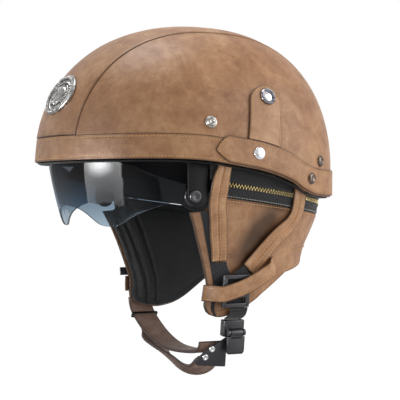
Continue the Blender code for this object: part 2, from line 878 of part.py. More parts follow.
def make_badge(finishes):
    def place(u, v):
        turn, reach = 2 * math.pi * u, 1 - v
        x = BADGE_HALF_WIDTH * reach * math.cos(turn)
        z = BADGE_Z + BADGE_HALF_HEIGHT * reach * math.sin(turn)
        return shell_end(x, z, -1), reach

    def face(u, v):
        point, reach = place(u, v)
        field = BADGE_FIELD_HEIGHT + BADGE_CROWN * (1 - reach**2)
        return skin(point, TOUCH + (BADGE_HEIGHT if reach > BADGE_RIM_SHARE else field))

    slab(
        "front_badge",
        finishes["pewter"],
        20,
        5,
        face,
        lambda u, v: skin(place(u, v)[0], TOUCH),
    )


def make_liners(finishes):
    def foam_face(u, v):
        recess = FOAM_RECESS if v < RECESS_SHARE else 0
        return skin(cap_point(u, v, FOAM_RIM_RISE), SHELL_OUT - SHELL_WALL - WALL_SEAT - recess)

    def foam_back(u, v):
        return cavity(cap_point(u, v, FOAM_RIM_RISE), 0)

    foam = slab("foam_liner", finishes["foam"], 36, 8, foam_face, foam_back)

    def slot_wall(u, v, outer):
        # The sheet turns about its line, so the wall's distance from that line comes from the sheet's place
        side = SLOT_SIDE_SHARE * (2 * u - 1)
        x, y = visor_edge(side, 0)
        top = visor_top(side) - VISOR_PIVOT_Z
        reach = VISOR_PIVOT_Y - y
        top_swing = math.atan2(top, reach) + math.radians(VISOR_STOW_DEG + SLOT_MARGIN_DEG)
        swing = mix(-math.radians(SLOT_LOW_DEG), top_swing, v)
        radius = math.hypot(reach, top) + SLOT_CLEARANCE
        if not outer:
            # The lowest part of the sheet that reaches this swing comes closest to the line
            z = -VISOR_DROP
            for _ in range(SLOT_TRIES):
                x, y = visor_edge(side, VISOR_THICK + SLOT_CLEARANCE + visor_lean(side, z))
                lowest = math.atan2(-VISOR_DROP - VISOR_PIVOT_Z, VISOR_PIVOT_Y - y)
                beyond = max(swing - math.radians(VISOR_STOW_DEG), lowest)
                z = VISOR_PIVOT_Z + (VISOR_PIVOT_Y - y) * math.tan(beyond)
            radius = (VISOR_PIVOT_Y - y) / math.cos(beyond)
        return Vector((
            x,
            VISOR_PIVOT_Y - radius * math.cos(swing),
            VISOR_PIVOT_Z + radius * math.sin(swing),
        ))

    slot = slab(
        "visor_slot_cutter",
        None,
        18,
        8,
        lambda u, v: slot_wall(u, v, True),
        lambda u, v: slot_wall(u, v, False),
        CUTTERS,
    )
    boolean(foam, slot, "DIFFERENCE")
    width = SHELL_HALF_WIDTH - POCKET_X
    for name, side in SIDES.items():
        pocket = box(
            f"visor_pocket_cutter_{name}",
            None,
            (width, POCKET_REAR_Y - POCKET_FRONT_Y, 2 * POCKET_HEIGHT),
            (side * (POCKET_X + width / 2), (POCKET_REAR_Y + POCKET_FRONT_Y) / 2, 0),
            CUTTERS,
        )
        boolean(foam, pocket, "DIFFERENCE")
    slab(
        "comfort_liner",
        finishes["fabric"],
        36,
        8,
        lambda u, v: cavity(cap_point(u, v, COMFORT_RIM_RISE), -SEAT),
        lambda u, v: cavity(cap_point(u, v, COMFORT_RIM_RISE), -SEAT - COMFORT_THICK),
    )


def visor_edge(side_share, inset):
    # The plan of the visor's sheet, inset from its outer face, at a share of the way to the arm's end
    angle = side_share * plan_angle(VISOR_PIVOT_Y, VISOR_FRONT, SHELL_REAR)
    return plan_point(angle, VISOR_HALF_WIDTH - inset, VISOR_FRONT - inset, SHELL_REAR)


def visor_top(side_share):
    return VISOR_TOP_Z - VISOR_ARM_DROP * follow(VISOR_TOP_SHARES, abs(side_share))


def visor_lean(side_share, z):
    # How far the sheet has drawn in at height z
    down = min(max((VISOR_TOP_Z - z) / (VISOR_TOP_Z + VISOR_DROP), 0), 1)
    return VISOR_LEAN * follow(VISOR_LEAN_SHARES, abs(side_share)) * down**VISOR_LEAN_POWER


def make_visor(finishes):
    pivot = Vector((0, VISOR_PIVOT_Y, VISOR_PIVOT_Z))
    carrier = add_empty("visor_pivot_line", Matrix.Translation(pivot))
    hub_x = visor_edge(1, 0)[0] - VISOR_THICK / 2

    def lens_place(u, v, inset):
        side = 2 * u - 1
        low = -VISOR_DROP * follow(VISOR_LOW_SHARES, abs(side))
        z = mix(low, visor_top(side), v)
        x, y = visor_edge(side, inset + visor_lean(side, z))
        return Vector((x, y, z))

    lens = slab(
        "visor_lens",
        finishes["lens"],
        44,
        4,
        lambda u, v: lens_place(u, v, 0),
        lambda u, v: lens_place(u, v, VISOR_THICK),
    )
    across = Matrix.Rotation(math.pi / 2, 4, "Y")
    screws = []
    for name, side in SIDES.items():
        middle = Matrix.Translation(pivot + Vector((side * hub_x, 0, 0))) @ across
        hub = cylinder(f"visor_hub_{name}", None, VISOR_HUB_RADIUS, VISOR_HUB_THICK, middle, 24, CUTTERS)
        boolean(lens, hub, "UNION")
        hole = cylinder(
            f"visor_hub_hole_{name}",
            None,
            VISOR_SCREW_RADIUS + TOUCH,
            CUT_OVERRUN,
            middle,
            16,
            CUTTERS,
        )
        boolean(lens, hole, "DIFFERENCE")
        screws.append(make_visor_bracket(finishes, name, side, hub_x))
    bpy.context.view_layer.update()
    parent_to(carrier, lens, *screws)


def make_visor_bracket(finishes, name, side, hub_x):
    inner = hub_x + VISOR_HUB_THICK / 2 + RUN_CLEARANCE
    middle_x = side * (inner + BRACKET_THICK / 2)
    round_z = VISOR_PIVOT_Z + TOUCH
    across = Matrix.Rotation(math.pi / 2, 4, "Y")
    bracket = box(
        f"visor_bracket_{name}",
        finishes["plastic"],
        (BRACKET_THICK, 2 * BRACKET_HALF_WIDTH, BRACKET_TOP_Z - round_z),
        (middle_x, BRACKET_Y, (BRACKET_TOP_Z + round_z) / 2),
    )
    foot = cylinder(
        f"bracket_foot_{name}",
        None,
        BRACKET_HALF_WIDTH,
        BRACKET_THICK,
        Matrix.Translation((middle_x, BRACKET_Y, round_z)) @ across,
        28,
        CUTTERS,
    )
    wall = skin(shell_side(BRACKET_Y, BRACKET_BOSS_Z, LEFT), SHELL_OUT - SHELL_WALL).x
    boss_end = wall - 2 * WALL_SEAT
    boss_length = boss_end - inner - BRACKET_THICK / 2
    boss = cylinder(
        f"bracket_boss_{name}",
        None,
        BRACKET_BOSS_RADIUS,
        boss_length,
        Matrix.Translation((side * (boss_end - boss_length / 2), BRACKET_Y, BRACKET_BOSS_Z)) @ across,
        20,
        CUTTERS,
    )
    hole = cylinder(
        f"bracket_hole_{name}",
        None,
        VISOR_SCREW_RADIUS + RUN_CLEARANCE,
        CUT_OVERRUN,
        Matrix.Translation((middle_x, VISOR_PIVOT_Y, VISOR_PIVOT_Z)) @ across,
        16,
        CUTTERS,
    )
    boolean(bracket, foot, "UNION")
    boolean(bracket, boss, "UNION")
    boolean(bracket, hole, "DIFFERENCE")
    shank = VISOR_HUB_THICK + 2 * RUN_CLEARANCE + BRACKET_THICK - TOUCH
    screw = lathe(
        f"visor_screw_{name}",
        finishes["plastic"],
        (
            (0, shank + VISOR_SCREW_HEAD * STUD_EDGE_SHARE),
            (VISOR_SCREW_HEAD_RADIUS * STUD_EDGE_SHARE, shank + VISOR_SCREW_HEAD * STUD_EDGE_SHARE),
            (VISOR_SCREW_HEAD_RADIUS * FLAT_SHARE, shank + VISOR_SCREW_HEAD),
            (VISOR_SCREW_HEAD_RADIUS, shank + VISOR_SCREW_HEAD * FLAT_SHARE),
            (VISOR_SCREW_HEAD_RADIUS, shank),
            (VISOR_SCREW_RADIUS, shank),
            (VISOR_SCREW_RADIUS, 0),
            (0, 0),
        ),
        16,
    )
    outward = Matrix.Rotation(side * math.pi / 2, 4, "Y")
    start = hub_x - VISOR_HUB_THICK / 2 + TOUCH
    screw.matrix_world = Matrix.Translation((side * start, VISOR_PIVOT_Y, VISOR_PIVOT_Z)) @ outward
    return screw


def curtain_size(z):
    depth = -z / CURTAIN_DEPTH
    half = SHELL_HALF_WIDTH * follow(CURTAIN_WIDTH_SHARES, depth)
    rear = SHELL_REAR * follow(CURTAIN_REAR_SHARES, depth)
    return half, rear


def curtain_side(y, z, out, side):
    half, rear = curtain_size(z)
    share = abs(y) / ((CURTAIN_FRONT if y < 0 else rear) + out)
    return Vector((side * (half + out) * (1 - share**PLAN_POWER) ** (1 / PLAN_POWER), y, z))


def curtain_ring(angle, z, out):
    half, rear = curtain_size(z)
    x, y = plan_point(angle, half + out, CURTAIN_FRONT + out, rear + out)
    return Vector((x, y, z))


def track_height(y):
    return TRACK_Z - TRACK_FALL * y / SHELL_REAR


def tape_low(y):
    return track_height(y) - TAPE_DROP


def make_zipper(finishes):
    def ring(start_y, u, drop, out):
        start = plan_angle(start_y, CURTAIN_FRONT, SHELL_REAR)
        angle = mix(start, 2 * math.pi - start, u)
        y = curtain_ring(angle, TRACK_Z, 0).y
        return curtain_ring(angle, track_height(y) + drop, out), angle, y

    def band(u, v, depth):
        start = plan_angle(CURTAIN_BAND_START_Y, CURTAIN_FRONT, SHELL_REAR)
        angle = mix(start, 2 * math.pi - start, u)
        y = curtain_ring(angle, TRACK_Z, 0).y
        low = track_height(y) + TOOTH_HALF_ROW + TOUCH
        shoulder = rim_height(y) + CURTAIN_BAND_INNER_RISE
        if v > CURTAIN_BAND_SHOULDER_SHARE:
            foot = rim_point(angle, CURTAIN_BAND_RISE)
            return skin(foot, SHELL_OUT - SHELL_WALL - WALL_SEAT - depth)
        return curtain_ring(angle, mix(low, shoulder, v / CURTAIN_BAND_SHOULDER_SHARE), -depth)

    slab(
        "curtain_band",
        finishes["fabric"],
        34,
        3,
        lambda u, v: band(u, v, 0),
        lambda u, v: band(u, v, TAPE_THICK),
    )

    def teeth(u, v, out):
        return ring(TRACK_START_Y, u, mix(-TOOTH_HALF_ROW, TOOTH_HALF_ROW, v), out)[0]

    slab(
        "zipper_teeth",
        finishes["brass"],
        36,
        1,
        lambda u, v: teeth(u, v, TOUCH),
        lambda u, v: teeth(u, v, TOUCH - TEETH_THICK),
    )

    def tape(u, v, out):
        return ring(TRACK_START_Y, u, mix(-TAPE_DROP, -TOOTH_HALF_ROW - TOUCH, v), out)[0]

    slab(
        "zipper_lower_tape",
        finishes["fabric"],
        36,
        1,
        lambda u, v: tape(u, v, 0),
        lambda u, v: tape(u, v, -TAPE_THICK),
    )
    make_slider(finishes)


def make_slider(finishes):
    # The slider's path is the arc that fits the side of the track, about a line on the far side of the head
    lean = math.atan(TRACK_FALL / SHELL_REAR)
    axis_place = Vector((TRACK_ARC_X, 0, TRACK_Z))
    tilt = Matrix.Rotation(-lean, 4, "X")
    turn = -SLIDER_REST_Y / TRACK_ARC_RADIUS
    frame = Matrix.Translation(axis_place) @ tilt @ Matrix.Rotation(turn, 4, "Z")
    carrier = add_empty("zipper_slide_centre", Matrix.Translation(axis_place))
    outside = -TRACK_ARC_RADIUS - SLIDER_GAP
    slider = box(
        "zipper_slider",
        finishes["brass"],
        (SLIDER_THICK, SLIDER_LENGTH, SLIDER_WIDTH),
        (outside - SLIDER_THICK / 2, 0, 0),
    )
    bevel(slider, SLIDER_THICK / 3)
    face = outside - SLIDER_THICK
    pin_x = face - SLIDER_EAR_HEIGHT + SLIDER_EAR_WIDTH
    ear_y = PULL_EYE_WIDTH / 2 + RUN_CLEARANCE + SLIDER_EAR_WIDTH / 2
    for name, side in SIDES.items():
        ear = box(
            f"slider_ear_{name}",
            None,
            (SLIDER_EAR_HEIGHT + SLIDER_THICK / 2, SLIDER_EAR_WIDTH, SLIDER_EAR_HEIGHT),
            (face - SLIDER_EAR_HEIGHT / 2 + SLIDER_THICK / 4, side * ear_y, 0),
            CUTTERS,
        )
        ear.matrix_world = frame
        boolean(slider, ear, "UNION")
    along = Matrix.Rotation(math.pi / 2, 4, "X")
    pin = cylinder(
        "slider_pin",
        None,
        PULL_PIN_RADIUS,
        2 * ear_y,
        Matrix.Translation((pin_x, 0, 0)) @ along,
        12,
        CUTTERS,
    )
    pin.matrix_world = frame
    boolean(slider, pin, "UNION")
    slider.matrix_world = frame
    pull = cylinder("zipper_pull", finishes["brass"], PULL_EYE_RADIUS, PULL_EYE_WIDTH, along, 16)
    hole = cylinder(
        "pull_hole", None, PULL_PIN_RADIUS + RUN_CLEARANCE, CUT_OVERRUN, along, 12, CUTTERS
    )
    tab_top = -PULL_PIN_RADIUS - 2 * RUN_CLEARANCE
    tab = box(
        "pull_tab",
        None,
        (PULL_THICK, PULL_EYE_WIDTH - RUN_CLEARANCE, PULL_LENGTH),
        (0, 0, tab_top - PULL_LENGTH / 2),
        CUTTERS,
    )
    handle = box(
        "pull_handle",
        None,
        (PULL_THICK, PULL_WIDTH, PULL_LENGTH * HANDLE_LENGTH_SHARE),
        (0, 0, tab_top - PULL_LENGTH * (1 - HANDLE_LENGTH_SHARE / 2)),
        CUTTERS,
    )
    hinge = frame @ Matrix.Translation((pin_x, 0, 0))
    for helper, operation in ((tab, "UNION"), (handle, "UNION"), (hole, "DIFFERENCE")):
        helper.matrix_world = hinge
        boolean(pull, helper, operation)
    pull.matrix_world = hinge
    bpy.context.view_layer.update()
    parent_to(carrier, slider, pull)


def flap_top(y):
    # The leather starts under the zipper's tape, and steps down under the visor's knob
    share = y / CURTAIN_DEPTH
    front_limit = FLAP_TOP_DROP_SHARES[-1][0]
    if share < front_limit:
        return -CURTAIN_DEPTH * follow(FLAP_TOP_DROP_SHARES, share)
    return tape_low(y) - 2 * TOUCH


def flap_place(u, v, name):
    # A patch between four edges, as (y, z): u from the front edge to the rear seam, v from the top down
    low_shares = FLAP_LOW_SHARES[name]
    rear = FLAP_REAR_Y - TOUCH
    front_y, front_z = (CURTAIN_DEPTH * value for value in follow(FLAP_FRONT_SHARES, v))
    front_z = -front_z
    head_y = CURTAIN_DEPTH * FLAP_FRONT_SHARES[0][1]
    foot_y = CURTAIN_DEPTH * FLAP_FRONT_SHARES[-1][1]
    top_y = mix(head_y, rear, u)
    low_y = mix(foot_y, rear, u)
    low_z = -CURTAIN_DEPTH * follow(low_shares, low_y / CURTAIN_DEPTH)
    rear_top = flap_top(rear)
    rear_low = -CURTAIN_DEPTH * follow(low_shares, rear / CURTAIN_DEPTH)
    head = Vector((head_y, flap_top(head_y)))
    foot = Vector((foot_y, -CURTAIN_DEPTH * FLAP_FRONT_SHARES[-1][2]))
    sides = Vector((front_y, front_z)).lerp(Vector((rear, mix(rear_top, rear_low, v))), u)
    ends = Vector((top_y, flap_top(top_y))).lerp(Vector((low_y, low_z)), v)
    corners = head.lerp(Vector((rear, rear_top)), u).lerp(foot.lerp(Vector((rear, rear_low)), u), v)
    return sides + ends - corners


def edge_swell(u, v):
    edge = min(u, 1 - u, v, 1 - v)
    return math.sin(min(edge / LINING_SWELL_SHARE, 1) * math.pi / 2)


def lining_depth(u, v, crown):
    # A pad with a crown, thin at its edges, and sewn channels that run down it
    swell = edge_swell(u, v)
    groove = sum(
        math.exp(-(((u - place) / LINING_CHANNEL_WIDTH_SHARE) ** 2)) for place in LINING_CHANNEL_SHARES
    )
    return LINING_EDGE_THICK + crown * swell - LINING_CHANNEL_DEPTH * groove * swell


def make_flaps(finishes):
    for name, side in SIDES.items():

        def leather(u, v, out, name=name, side=side):
            return curtain_side(*flap_place(u, v, name), out, side)

        slab(
            f"ear_flap_{name}",
            finishes["leather"],
            12,
            10,
            lambda u, v, face=leather: face(u, v, 0),
            lambda u, v, face=leather: face(u, v, -LEATHER),
        )
        inset = EDGE_INSET / CURTAIN_DEPTH

        def lining(u, v, deep, face=leather):
            out = -LEATHER - LINING_GAP
            if deep:
                out -= lining_depth(u, v, LINING_CROWN)
            return face(mix(inset, 1 - inset, u), mix(inset, 1 - inset, v), out)

        slab(
            f"ear_lining_{name}",
            finishes["fabric"],
            17,
            9,
            lambda u, v, face=lining: face(u, v, False),
            lambda u, v, face=lining: face(u, v, True),
        )


def neck_ring(u, z, out, inset):
    rear = curtain_size(z)[1] + out
    start = plan_angle(FLAP_REAR_Y + TOUCH + inset, CURTAIN_FRONT, rear)
    return curtain_ring(mix(start, 2 * math.pi - start, u), z, out)


def neck_point(u, v, out, inset):
    # The height of the tape depends on the place, so two guesses settle the top edge on it
    middle_y = curtain_ring(mix(math.pi / 2, math.pi * 1.5, u), TRACK_Z, 0).y
    guess = tape_low(max(middle_y, FLAP_REAR_Y + TOUCH + inset)) - 2 * TOUCH - inset
    top = tape_low(neck_ring(u, guess, 0, inset).y) - 2 * TOUCH
    side_low = mix(FLAP_LOW_SHARES["left"][-1][1], FLAP_LOW_SHARES["right"][-1][1], u)
    low = -CURTAIN_DEPTH * mix(side_low, NECK_LOW_SHARE, math.sin(math.pi * u))
    return neck_ring(u, mix(top - inset, low + inset, v), out, inset)


def make_neck(finishes):
    slab(
        "neck_panel",
        finishes["leather"],
        16,
        6,
        lambda u, v: neck_point(u, v, 0, 0),
        lambda u, v: neck_point(u, v, -LEATHER, 0),
    )

    def depth(u, v):
        return LINING_EDGE_THICK + NECK_LINING_CROWN * edge_swell(u, v)

    slab(
        "neck_lining",
        finishes["fabric"],
        14,
        6,
        lambda u, v: neck_point(u, v, -LEATHER - LINING_GAP, EDGE_INSET),
        lambda u, v: neck_point(u, v, -LEATHER - LINING_GAP - depth(u, v), EDGE_INSET),
    )


def route_point(shares, along, across, width):
    # A place on a strap that follows a route over the curtain: along and across run from 0 to 1
    table = [(i / (len(shares) - 1), *row) for i, row in enumerate(shares)]
    forward, down, width_share = follow(table, along)
    step = 0.5 / len(shares)
    before = follow(table, max(along - step, 0))
    after = follow(table, min(along + step, 1))
    heading = Vector((after[0] - before[0], -(after[1] - before[1]))).normalized()
    middle = Vector((forward * CURTAIN_DEPTH, -down * CURTAIN_DEPTH))
    sideways = Vector((-heading.y, heading.x))
    return middle + sideways * ((across - 0.5) * width * width_share)


def make_strap(name, material, shares, width, lift, thick, side, columns):
    def place(u, v, out):
        y, z = route_point(shares, u, v, width)
        rise = lift(u) if callable(lift) else lift
        return curtain_side(y, z, rise + out, side)

    slab(name, material, columns, 2, lambda u, v: place(u, v, thick), lambda u, v: place(u, v, 0))


def make_straps(finishes):
    def keeper_lift(u):
        rise = min(u / KEEPER_FRONT_SHARE, (1 - u) / KEEPER_REAR_SHARE, 1)
        return TOUCH + KEEPER_LIFT * math.sin(rise * math.pi / 2) ** 2

    upper_lift = STRAP_LIFT + WEBBING_THICK + TOUCH
    strap = (STRAP_WIDTH, STRAP_LIFT, STRAP_THICK)
    webbing = (WEBBING_WIDTH, STRAP_LIFT, WEBBING_THICK)
    upper_webbing = (WEBBING_WIDTH, upper_lift, WEBBING_THICK)
    keeper = (KEEPER_WIDTH, keeper_lift, KEEPER_THICK)
    pieces = (
        ("front_strap", "leather", FRONT_STRAP_SHARES, strap, 14),
        ("rear_strap", "leather", REAR_STRAP_SHARES, strap, 16),
        ("front_webbing", "webbing", FRONT_WEBBING_SHARES, webbing, 4),
        ("rear_webbing", "webbing", REAR_WEBBING_SHARES, upper_webbing, 4),
        ("keeper_band", "leather", KEEPER_SHARES, keeper, 16),
    )
    for name, side in SIDES.items():
        for kind, material, shares, sizes, columns in pieces:
            make_strap(f"{kind}_{name}", finishes[material], shares, *sizes, side, columns)
        make_adjuster(finishes, name, side)


def make_adjuster(finishes, name, side):
    foot = curtain_side(ADJUSTER_Y, ADJUSTER_Z, 0, side)
    above = curtain_side(ADJUSTER_Y, ADJUSTER_Z + ADJUSTER_HALF_HEIGHT, 0, side)
    lean = math.atan2(above.x - foot.x, ADJUSTER_HALF_HEIGHT)
    adjuster = box(
        f"strap_adjuster_{name}",
        finishes["plastic"],
        (ADJUSTER_THICK, 2 * ADJUSTER_HALF_WIDTH, 2 * ADJUSTER_HALF_HEIGHT),
        (side * ADJUSTER_THICK / 2, 0, 0),
    )
    bevel(adjuster, ADJUSTER_THICK / 4)
    adjuster.location = foot + Vector((side * ADJUSTER_LIFT, 0, 0))
    adjuster.rotation_euler = (0, lean, 0)
    if side == LEFT:
        return
    tab = box(
        "adjuster_tab",
        None,
        (ADJUSTER_THICK / 2, ADJUSTER_TAB_REACH, ADJUSTER_TAB_HEIGHT),
        (
            side * ADJUSTER_THICK / 2,
            -ADJUSTER_TAB_REACH / 2,
            ADJUSTER_HALF_HEIGHT - ADJUSTER_TAB_HEIGHT / 2 - TOUCH,
        ),
        CUTTERS,
    )
    tab.location = adjuster.location
    tab.rotation_euler = adjuster.rotation_euler
    boolean(adjuster, tab, "UNION")


def buckle_frame():
    # Its y axis leans so that the tongue leaves the buckle along a circle about the chin strap's hinge
    lean = math.atan2(CHIN_HINGE_Z - BUCKLE_Z, BUCKLE_X - CHIN_HINGE_X)
    up = Vector((math.sin(lean), 0, math.cos(lean)))
    along = Vector((0, 1, 0))
    outwards = along.cross(up)
    frame = Matrix((along, up, outwards)).transposed().to_4x4()
    return Matrix.Translation((BUCKLE_X, BUCKLE_Y, BUCKLE_Z)) @ frame


def make_buckle(finishes):
    frame = buckle_frame()
    height = BODY_TOP - BODY_BOTTOM
    middle = (0, (BODY_TOP + BODY_BOTTOM) / 2, 0)
    body = box("buckle_body", finishes["plastic"], (BODY_WIDTH, height, BODY_THICK), middle)
    bevel(body, BUCKLE_CORNER)
    slot = box(
        "tongue_slot_cutter",
        None,
        (TONGUE_WIDTH + 2 * BUCKLE_CLEARANCE, CUT_OVERRUN, TONGUE_THICK + 2 * BUCKLE_CLEARANCE),
        (0, TONGUE_REACH + BUCKLE_CLEARANCE - CUT_OVERRUN / 2, 0),
        CUTTERS,
    )
    along = Matrix.Rotation(math.pi / 2, 4, "Y")
    pin_place = Matrix.Translation((0, LEVER_PIN_Y, LEVER_PIN_Z)) @ along
    ear_middle = LEVER_WIDTH / 2 - EAR_THICK / 2
    helpers = []
    for name, side in SIDES.items():
        ear_block = box(
            f"buckle_ear_block_{name}",
            None,
            (EAR_THICK, 2 * EAR_RADIUS, LEVER_PIN_Z - BODY_THICK / 4),
            (side * ear_middle, LEVER_PIN_Y, (LEVER_PIN_Z + BODY_THICK / 4) / 2),
            CUTTERS,
        )
        ear = cylinder(
            f"buckle_ear_{name}",
            None,
            EAR_RADIUS,
            EAR_THICK,
            Matrix.Translation((side * ear_middle, 0, 0)) @ pin_place,
            20,
            CUTTERS,
        )
        helpers += [(ear_block, "UNION"), (ear, "UNION")]
    pin_hole = cylinder(
        "lever_pin_hole", None, LEVER_PIN_RADIUS + TOUCH, CUT_OVERRUN, pin_place, 12, CUTTERS
    )
    helpers += [(slot, "DIFFERENCE"), (pin_hole, "DIFFERENCE")]
    for helper, operation in helpers:
        helper.matrix_world = frame
        boolean(body, helper, operation)
    body.matrix_world = frame
    pin = cylinder(
        "lever_pin",
        finishes["nickel"],
        LEVER_PIN_RADIUS,
        LEVER_WIDTH - 2 * TOUCH,
        pin_place,
        12,
    )
    pin.matrix_world = frame
    make_lever(finishes, frame, ear_middle, along)
    make_tongue(finishes, frame)
    make_lower_webbing(finishes, frame)


def make_lever(finishes, frame, ear_middle, along):
    knuckle_length = 2 * (ear_middle - EAR_THICK / 2 - RUN_CLEARANCE)
    hinge = frame @ Matrix.Translation((0, LEVER_PIN_Y, LEVER_PIN_Z))
    lever = cylinder("buckle_lever", finishes["plastic"], EAR_RADIUS, knuckle_length, along, 20)
    neck = box(
        "lever_neck",
        None,
        (knuckle_length, 2 * EAR_RADIUS * LEVER_NECK_SHARE, LEVER_THICK),
        (0, -EAR_RADIUS * LEVER_NECK_SHARE, 0),
        CUTTERS,
    )
    blade_top = -EAR_RADIUS - RUN_CLEARANCE
    blade = box(
        "lever_blade",
        None,
        (LEVER_WIDTH, LEVER_LENGTH + blade_top, LEVER_THICK),
        (0, (blade_top - LEVER_LENGTH) / 2, 0),
        CUTTERS,
    )
    hole = cylinder(
        "lever_hole", None, LEVER_PIN_RADIUS + RUN_CLEARANCE, CUT_OVERRUN, along, 12, CUTTERS
    )
    for helper, operation in ((neck, "UNION"), (blade, "UNION"), (hole, "DIFFERENCE")):
        helper.matrix_world = hinge
        boolean(lever, helper, operation)
    lever.matrix_world = hinge


def chin_carrier():
    return add_empty("chin_strap_hinge", Matrix.Translation((CHIN_HINGE_X, CHIN_STRAP_Y, CHIN_HINGE_Z)))


def tongue_outline():
    # The first two corners are the tongue's end, and the rest slant forward to the rivet plate
    corners = []
    half = TONGUE_WIDTH / 2
    shoulder = BODY_BOTTOM
    for x_share, y_share in TONGUE_SHARES:
        x = x_share * (half if x_share > 0 else -PLATE_FRONT)
        if x_share == 0:
            x = -half if y_share > -STEP_SHARE else PLATE_REAR
        y = y_share * TONGUE_REACH if y_share > 0 else shoulder + y_share * (shoulder - PLATE_LOW)
        corners.append((x, y))
    return corners


def make_tongue(finishes, frame):
    bm = bmesh.new()
    verts = [bm.verts.new((x, y, -TONGUE_THICK / 2)) for x, y in tongue_outline()]
    outline = bm.faces.new(verts)
    lifted = bmesh.ops.extrude_face_region(bm, geom=[outline])["geom"]
    for vert in lifted:
        if isinstance(vert, bmesh.types.BMVert):
            vert.co.z += TONGUE_THICK
    bmesh.ops.recalc_face_normals(bm, faces=bm.faces[:])
    tongue = add_mesh("buckle_tongue", bm, finishes["plastic"])
    tongue.matrix_world = frame
    rivets = []
    places = {"upper": (UPPER_RIVET_X, UPPER_RIVET_Y), "lower": (LOWER_RIVET_X, LOWER_RIVET_Y)}
    for name, (x, y) in places.items():
        rivet = lathe(
            f"chin_rivet_{name}",
            finishes["chrome"],
            stud_profile(CHIN_RIVET_RADIUS, CHIN_RIVET_HEIGHT),
            16,
        )
        rivet.matrix_world = frame @ Matrix.Translation((x, y, TONGUE_THICK / 2 + TOUCH))
        rivets.append(rivet)
    bpy.context.view_layer.update()
    parent_to(bpy.data.objects["chin_strap_hinge"], tongue, *rivets)


def make_lower_webbing(finishes, frame):
    start = curtain_side(BUCKLE_Y, ADJUSTER_Z - ADJUSTER_HALF_HEIGHT - 2 * TOUCH, 0, LEFT)
    start.x += ADJUSTER_LIFT + ADJUSTER_THICK / 2
    end = frame @ Vector((0, BODY_TOP + WALL_SEAT, 0))
    bend = Vector((start.x - WEBBING_THICK, BUCKLE_Y, mix(start.z, end.z, WEBBING_BEND_SHARE)))

    def place(u, v, out):
        point = start.lerp(bend, u).lerp(bend.lerp(end, u), u)
        heading = (bend - start).lerp(end - bend, u).normalized()
        outwards = Vector((0, 1, 0)).cross(-heading)
        point = point + outwards * out
        point.y += (v - 0.5) * LOWER_WEBBING_WIDTH
        return point

    slab(
        "lower_webbing",
        finishes["webbing"],
        6,
        1,
        lambda u, v: place(u, v, WEBBING_THICK / 2),
        lambda u, v: place(u, v, -WEBBING_THICK / 2),
    )


def chin_frame(shares, along):
    # A place on the route from side to side, with the way off its outer face and its tilt
    table = [(i / (len(shares) - 1), *row) for i, row in enumerate(shares)]

    def place(at):
        values = follow(table, min(max(at, 0), 1))
        return Vector((values[0] * CHIN_SPAN, 0, CHIN_HINGE_Z - values[1] * CHIN_DROP))

    step = 0.3 / len(shares)
    heading = (place(along + step) - place(along - step)).normalized()
    tilt = math.radians(follow(table, along)[2]) if len(table[0]) > 3 else 0
    return place(along), Vector((heading.z, 0, -heading.x)), tilt


def chin_strap_point(shares, along, across, out, middle_y, width):
    # Where the route tilts, the front edge of the strap is the higher one
    point, outwards, tilt = chin_frame(shares, along)
    flat = Vector((0, 1, 0))
    sideways = flat * math.cos(tilt) + outwards * math.sin(tilt)
    normal = outwards * math.cos(tilt) - flat * math.sin(tilt)
    point = point + sideways * ((across - 0.5) * width) + normal * out
    point.y += middle_y
    return point


def make_chin_strap(finishes):
    carrier = chin_carrier()
    leather = finishes["dark_leather"]

    def strap(u, v, out):
        return chin_strap_point(CHIN_STRAP_SHARES, u, v, out, CHIN_STRAP_Y, CHIN_STRAP_WIDTH)

    def pad(u, v, out):
        return chin_strap_point(CHIN_PAD_SHARES, u, v, out, CHIN_PAD_Y, CHIN_PAD_WIDTH)

    half = CHIN_STRAP_THICK / 2
    parts = [
        slab("chin_strap", leather, 26, 2, lambda u, v: strap(u, v, half), lambda u, v: strap(u, v, -half)),
        slab("chin_pad", leather, 22, 4, lambda u, v: pad(u, v, half), lambda u, v: pad(u, v, -half)),
    ]
    wall = 2 * KEEPER_LOOP_THICK
    loop = box(
        "keeper_loop",
        finishes["plastic"],
        (CHIN_STRAP_THICK + 2 * SEAT + wall, CHIN_STRAP_WIDTH + 2 * SEAT + wall, KEEPER_LOOP_HEIGHT),
        (0, 0, 0),
    )
    opening = box(
        "keeper_loop_cutter",
        None,
        (CHIN_STRAP_THICK + 2 * SEAT, CHIN_STRAP_WIDTH + 2 * SEAT, 2 * KEEPER_LOOP_HEIGHT),
        (0, 0, 0),
        CUTTERS,
    )
    point, outwards, _ = chin_frame(CHIN_STRAP_SHARES, KEEPER_LOOP_SHARE)
    flat = Vector((0, 1, 0))
    place = Matrix((outwards, flat, outwards.cross(flat))).transposed().to_4x4()
    place.translation = point + flat * CHIN_STRAP_Y
    loop.matrix_world = place
    opening.matrix_world = place
    boolean(loop, opening, "DIFFERENCE")
    bpy.context.view_layer.update()
    parent_to(carrier, *parts, loop)


def main():
    clear_scene()
    finishes = make_finishes()
    make_shell(finishes)
    make_panels(finishes)
    make_rim(finishes)
    make_vent_patches(finishes)
    make_studs(finishes)
    make_badge(finishes)
    make_liners(finishes)
    make_visor(finishes)
    make_zipper(finishes)
    make_flaps(finishes)
    make_neck(finishes)
    make_straps(finishes)
    make_chin_strap(finishes)
    make_buckle(finishes)
    bpy.context.view_layer.update()


main()
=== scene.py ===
import math

import bmesh
import bpy
from mathutils import Matrix, Vector, noise
from mathutils.kdtree import KDTree


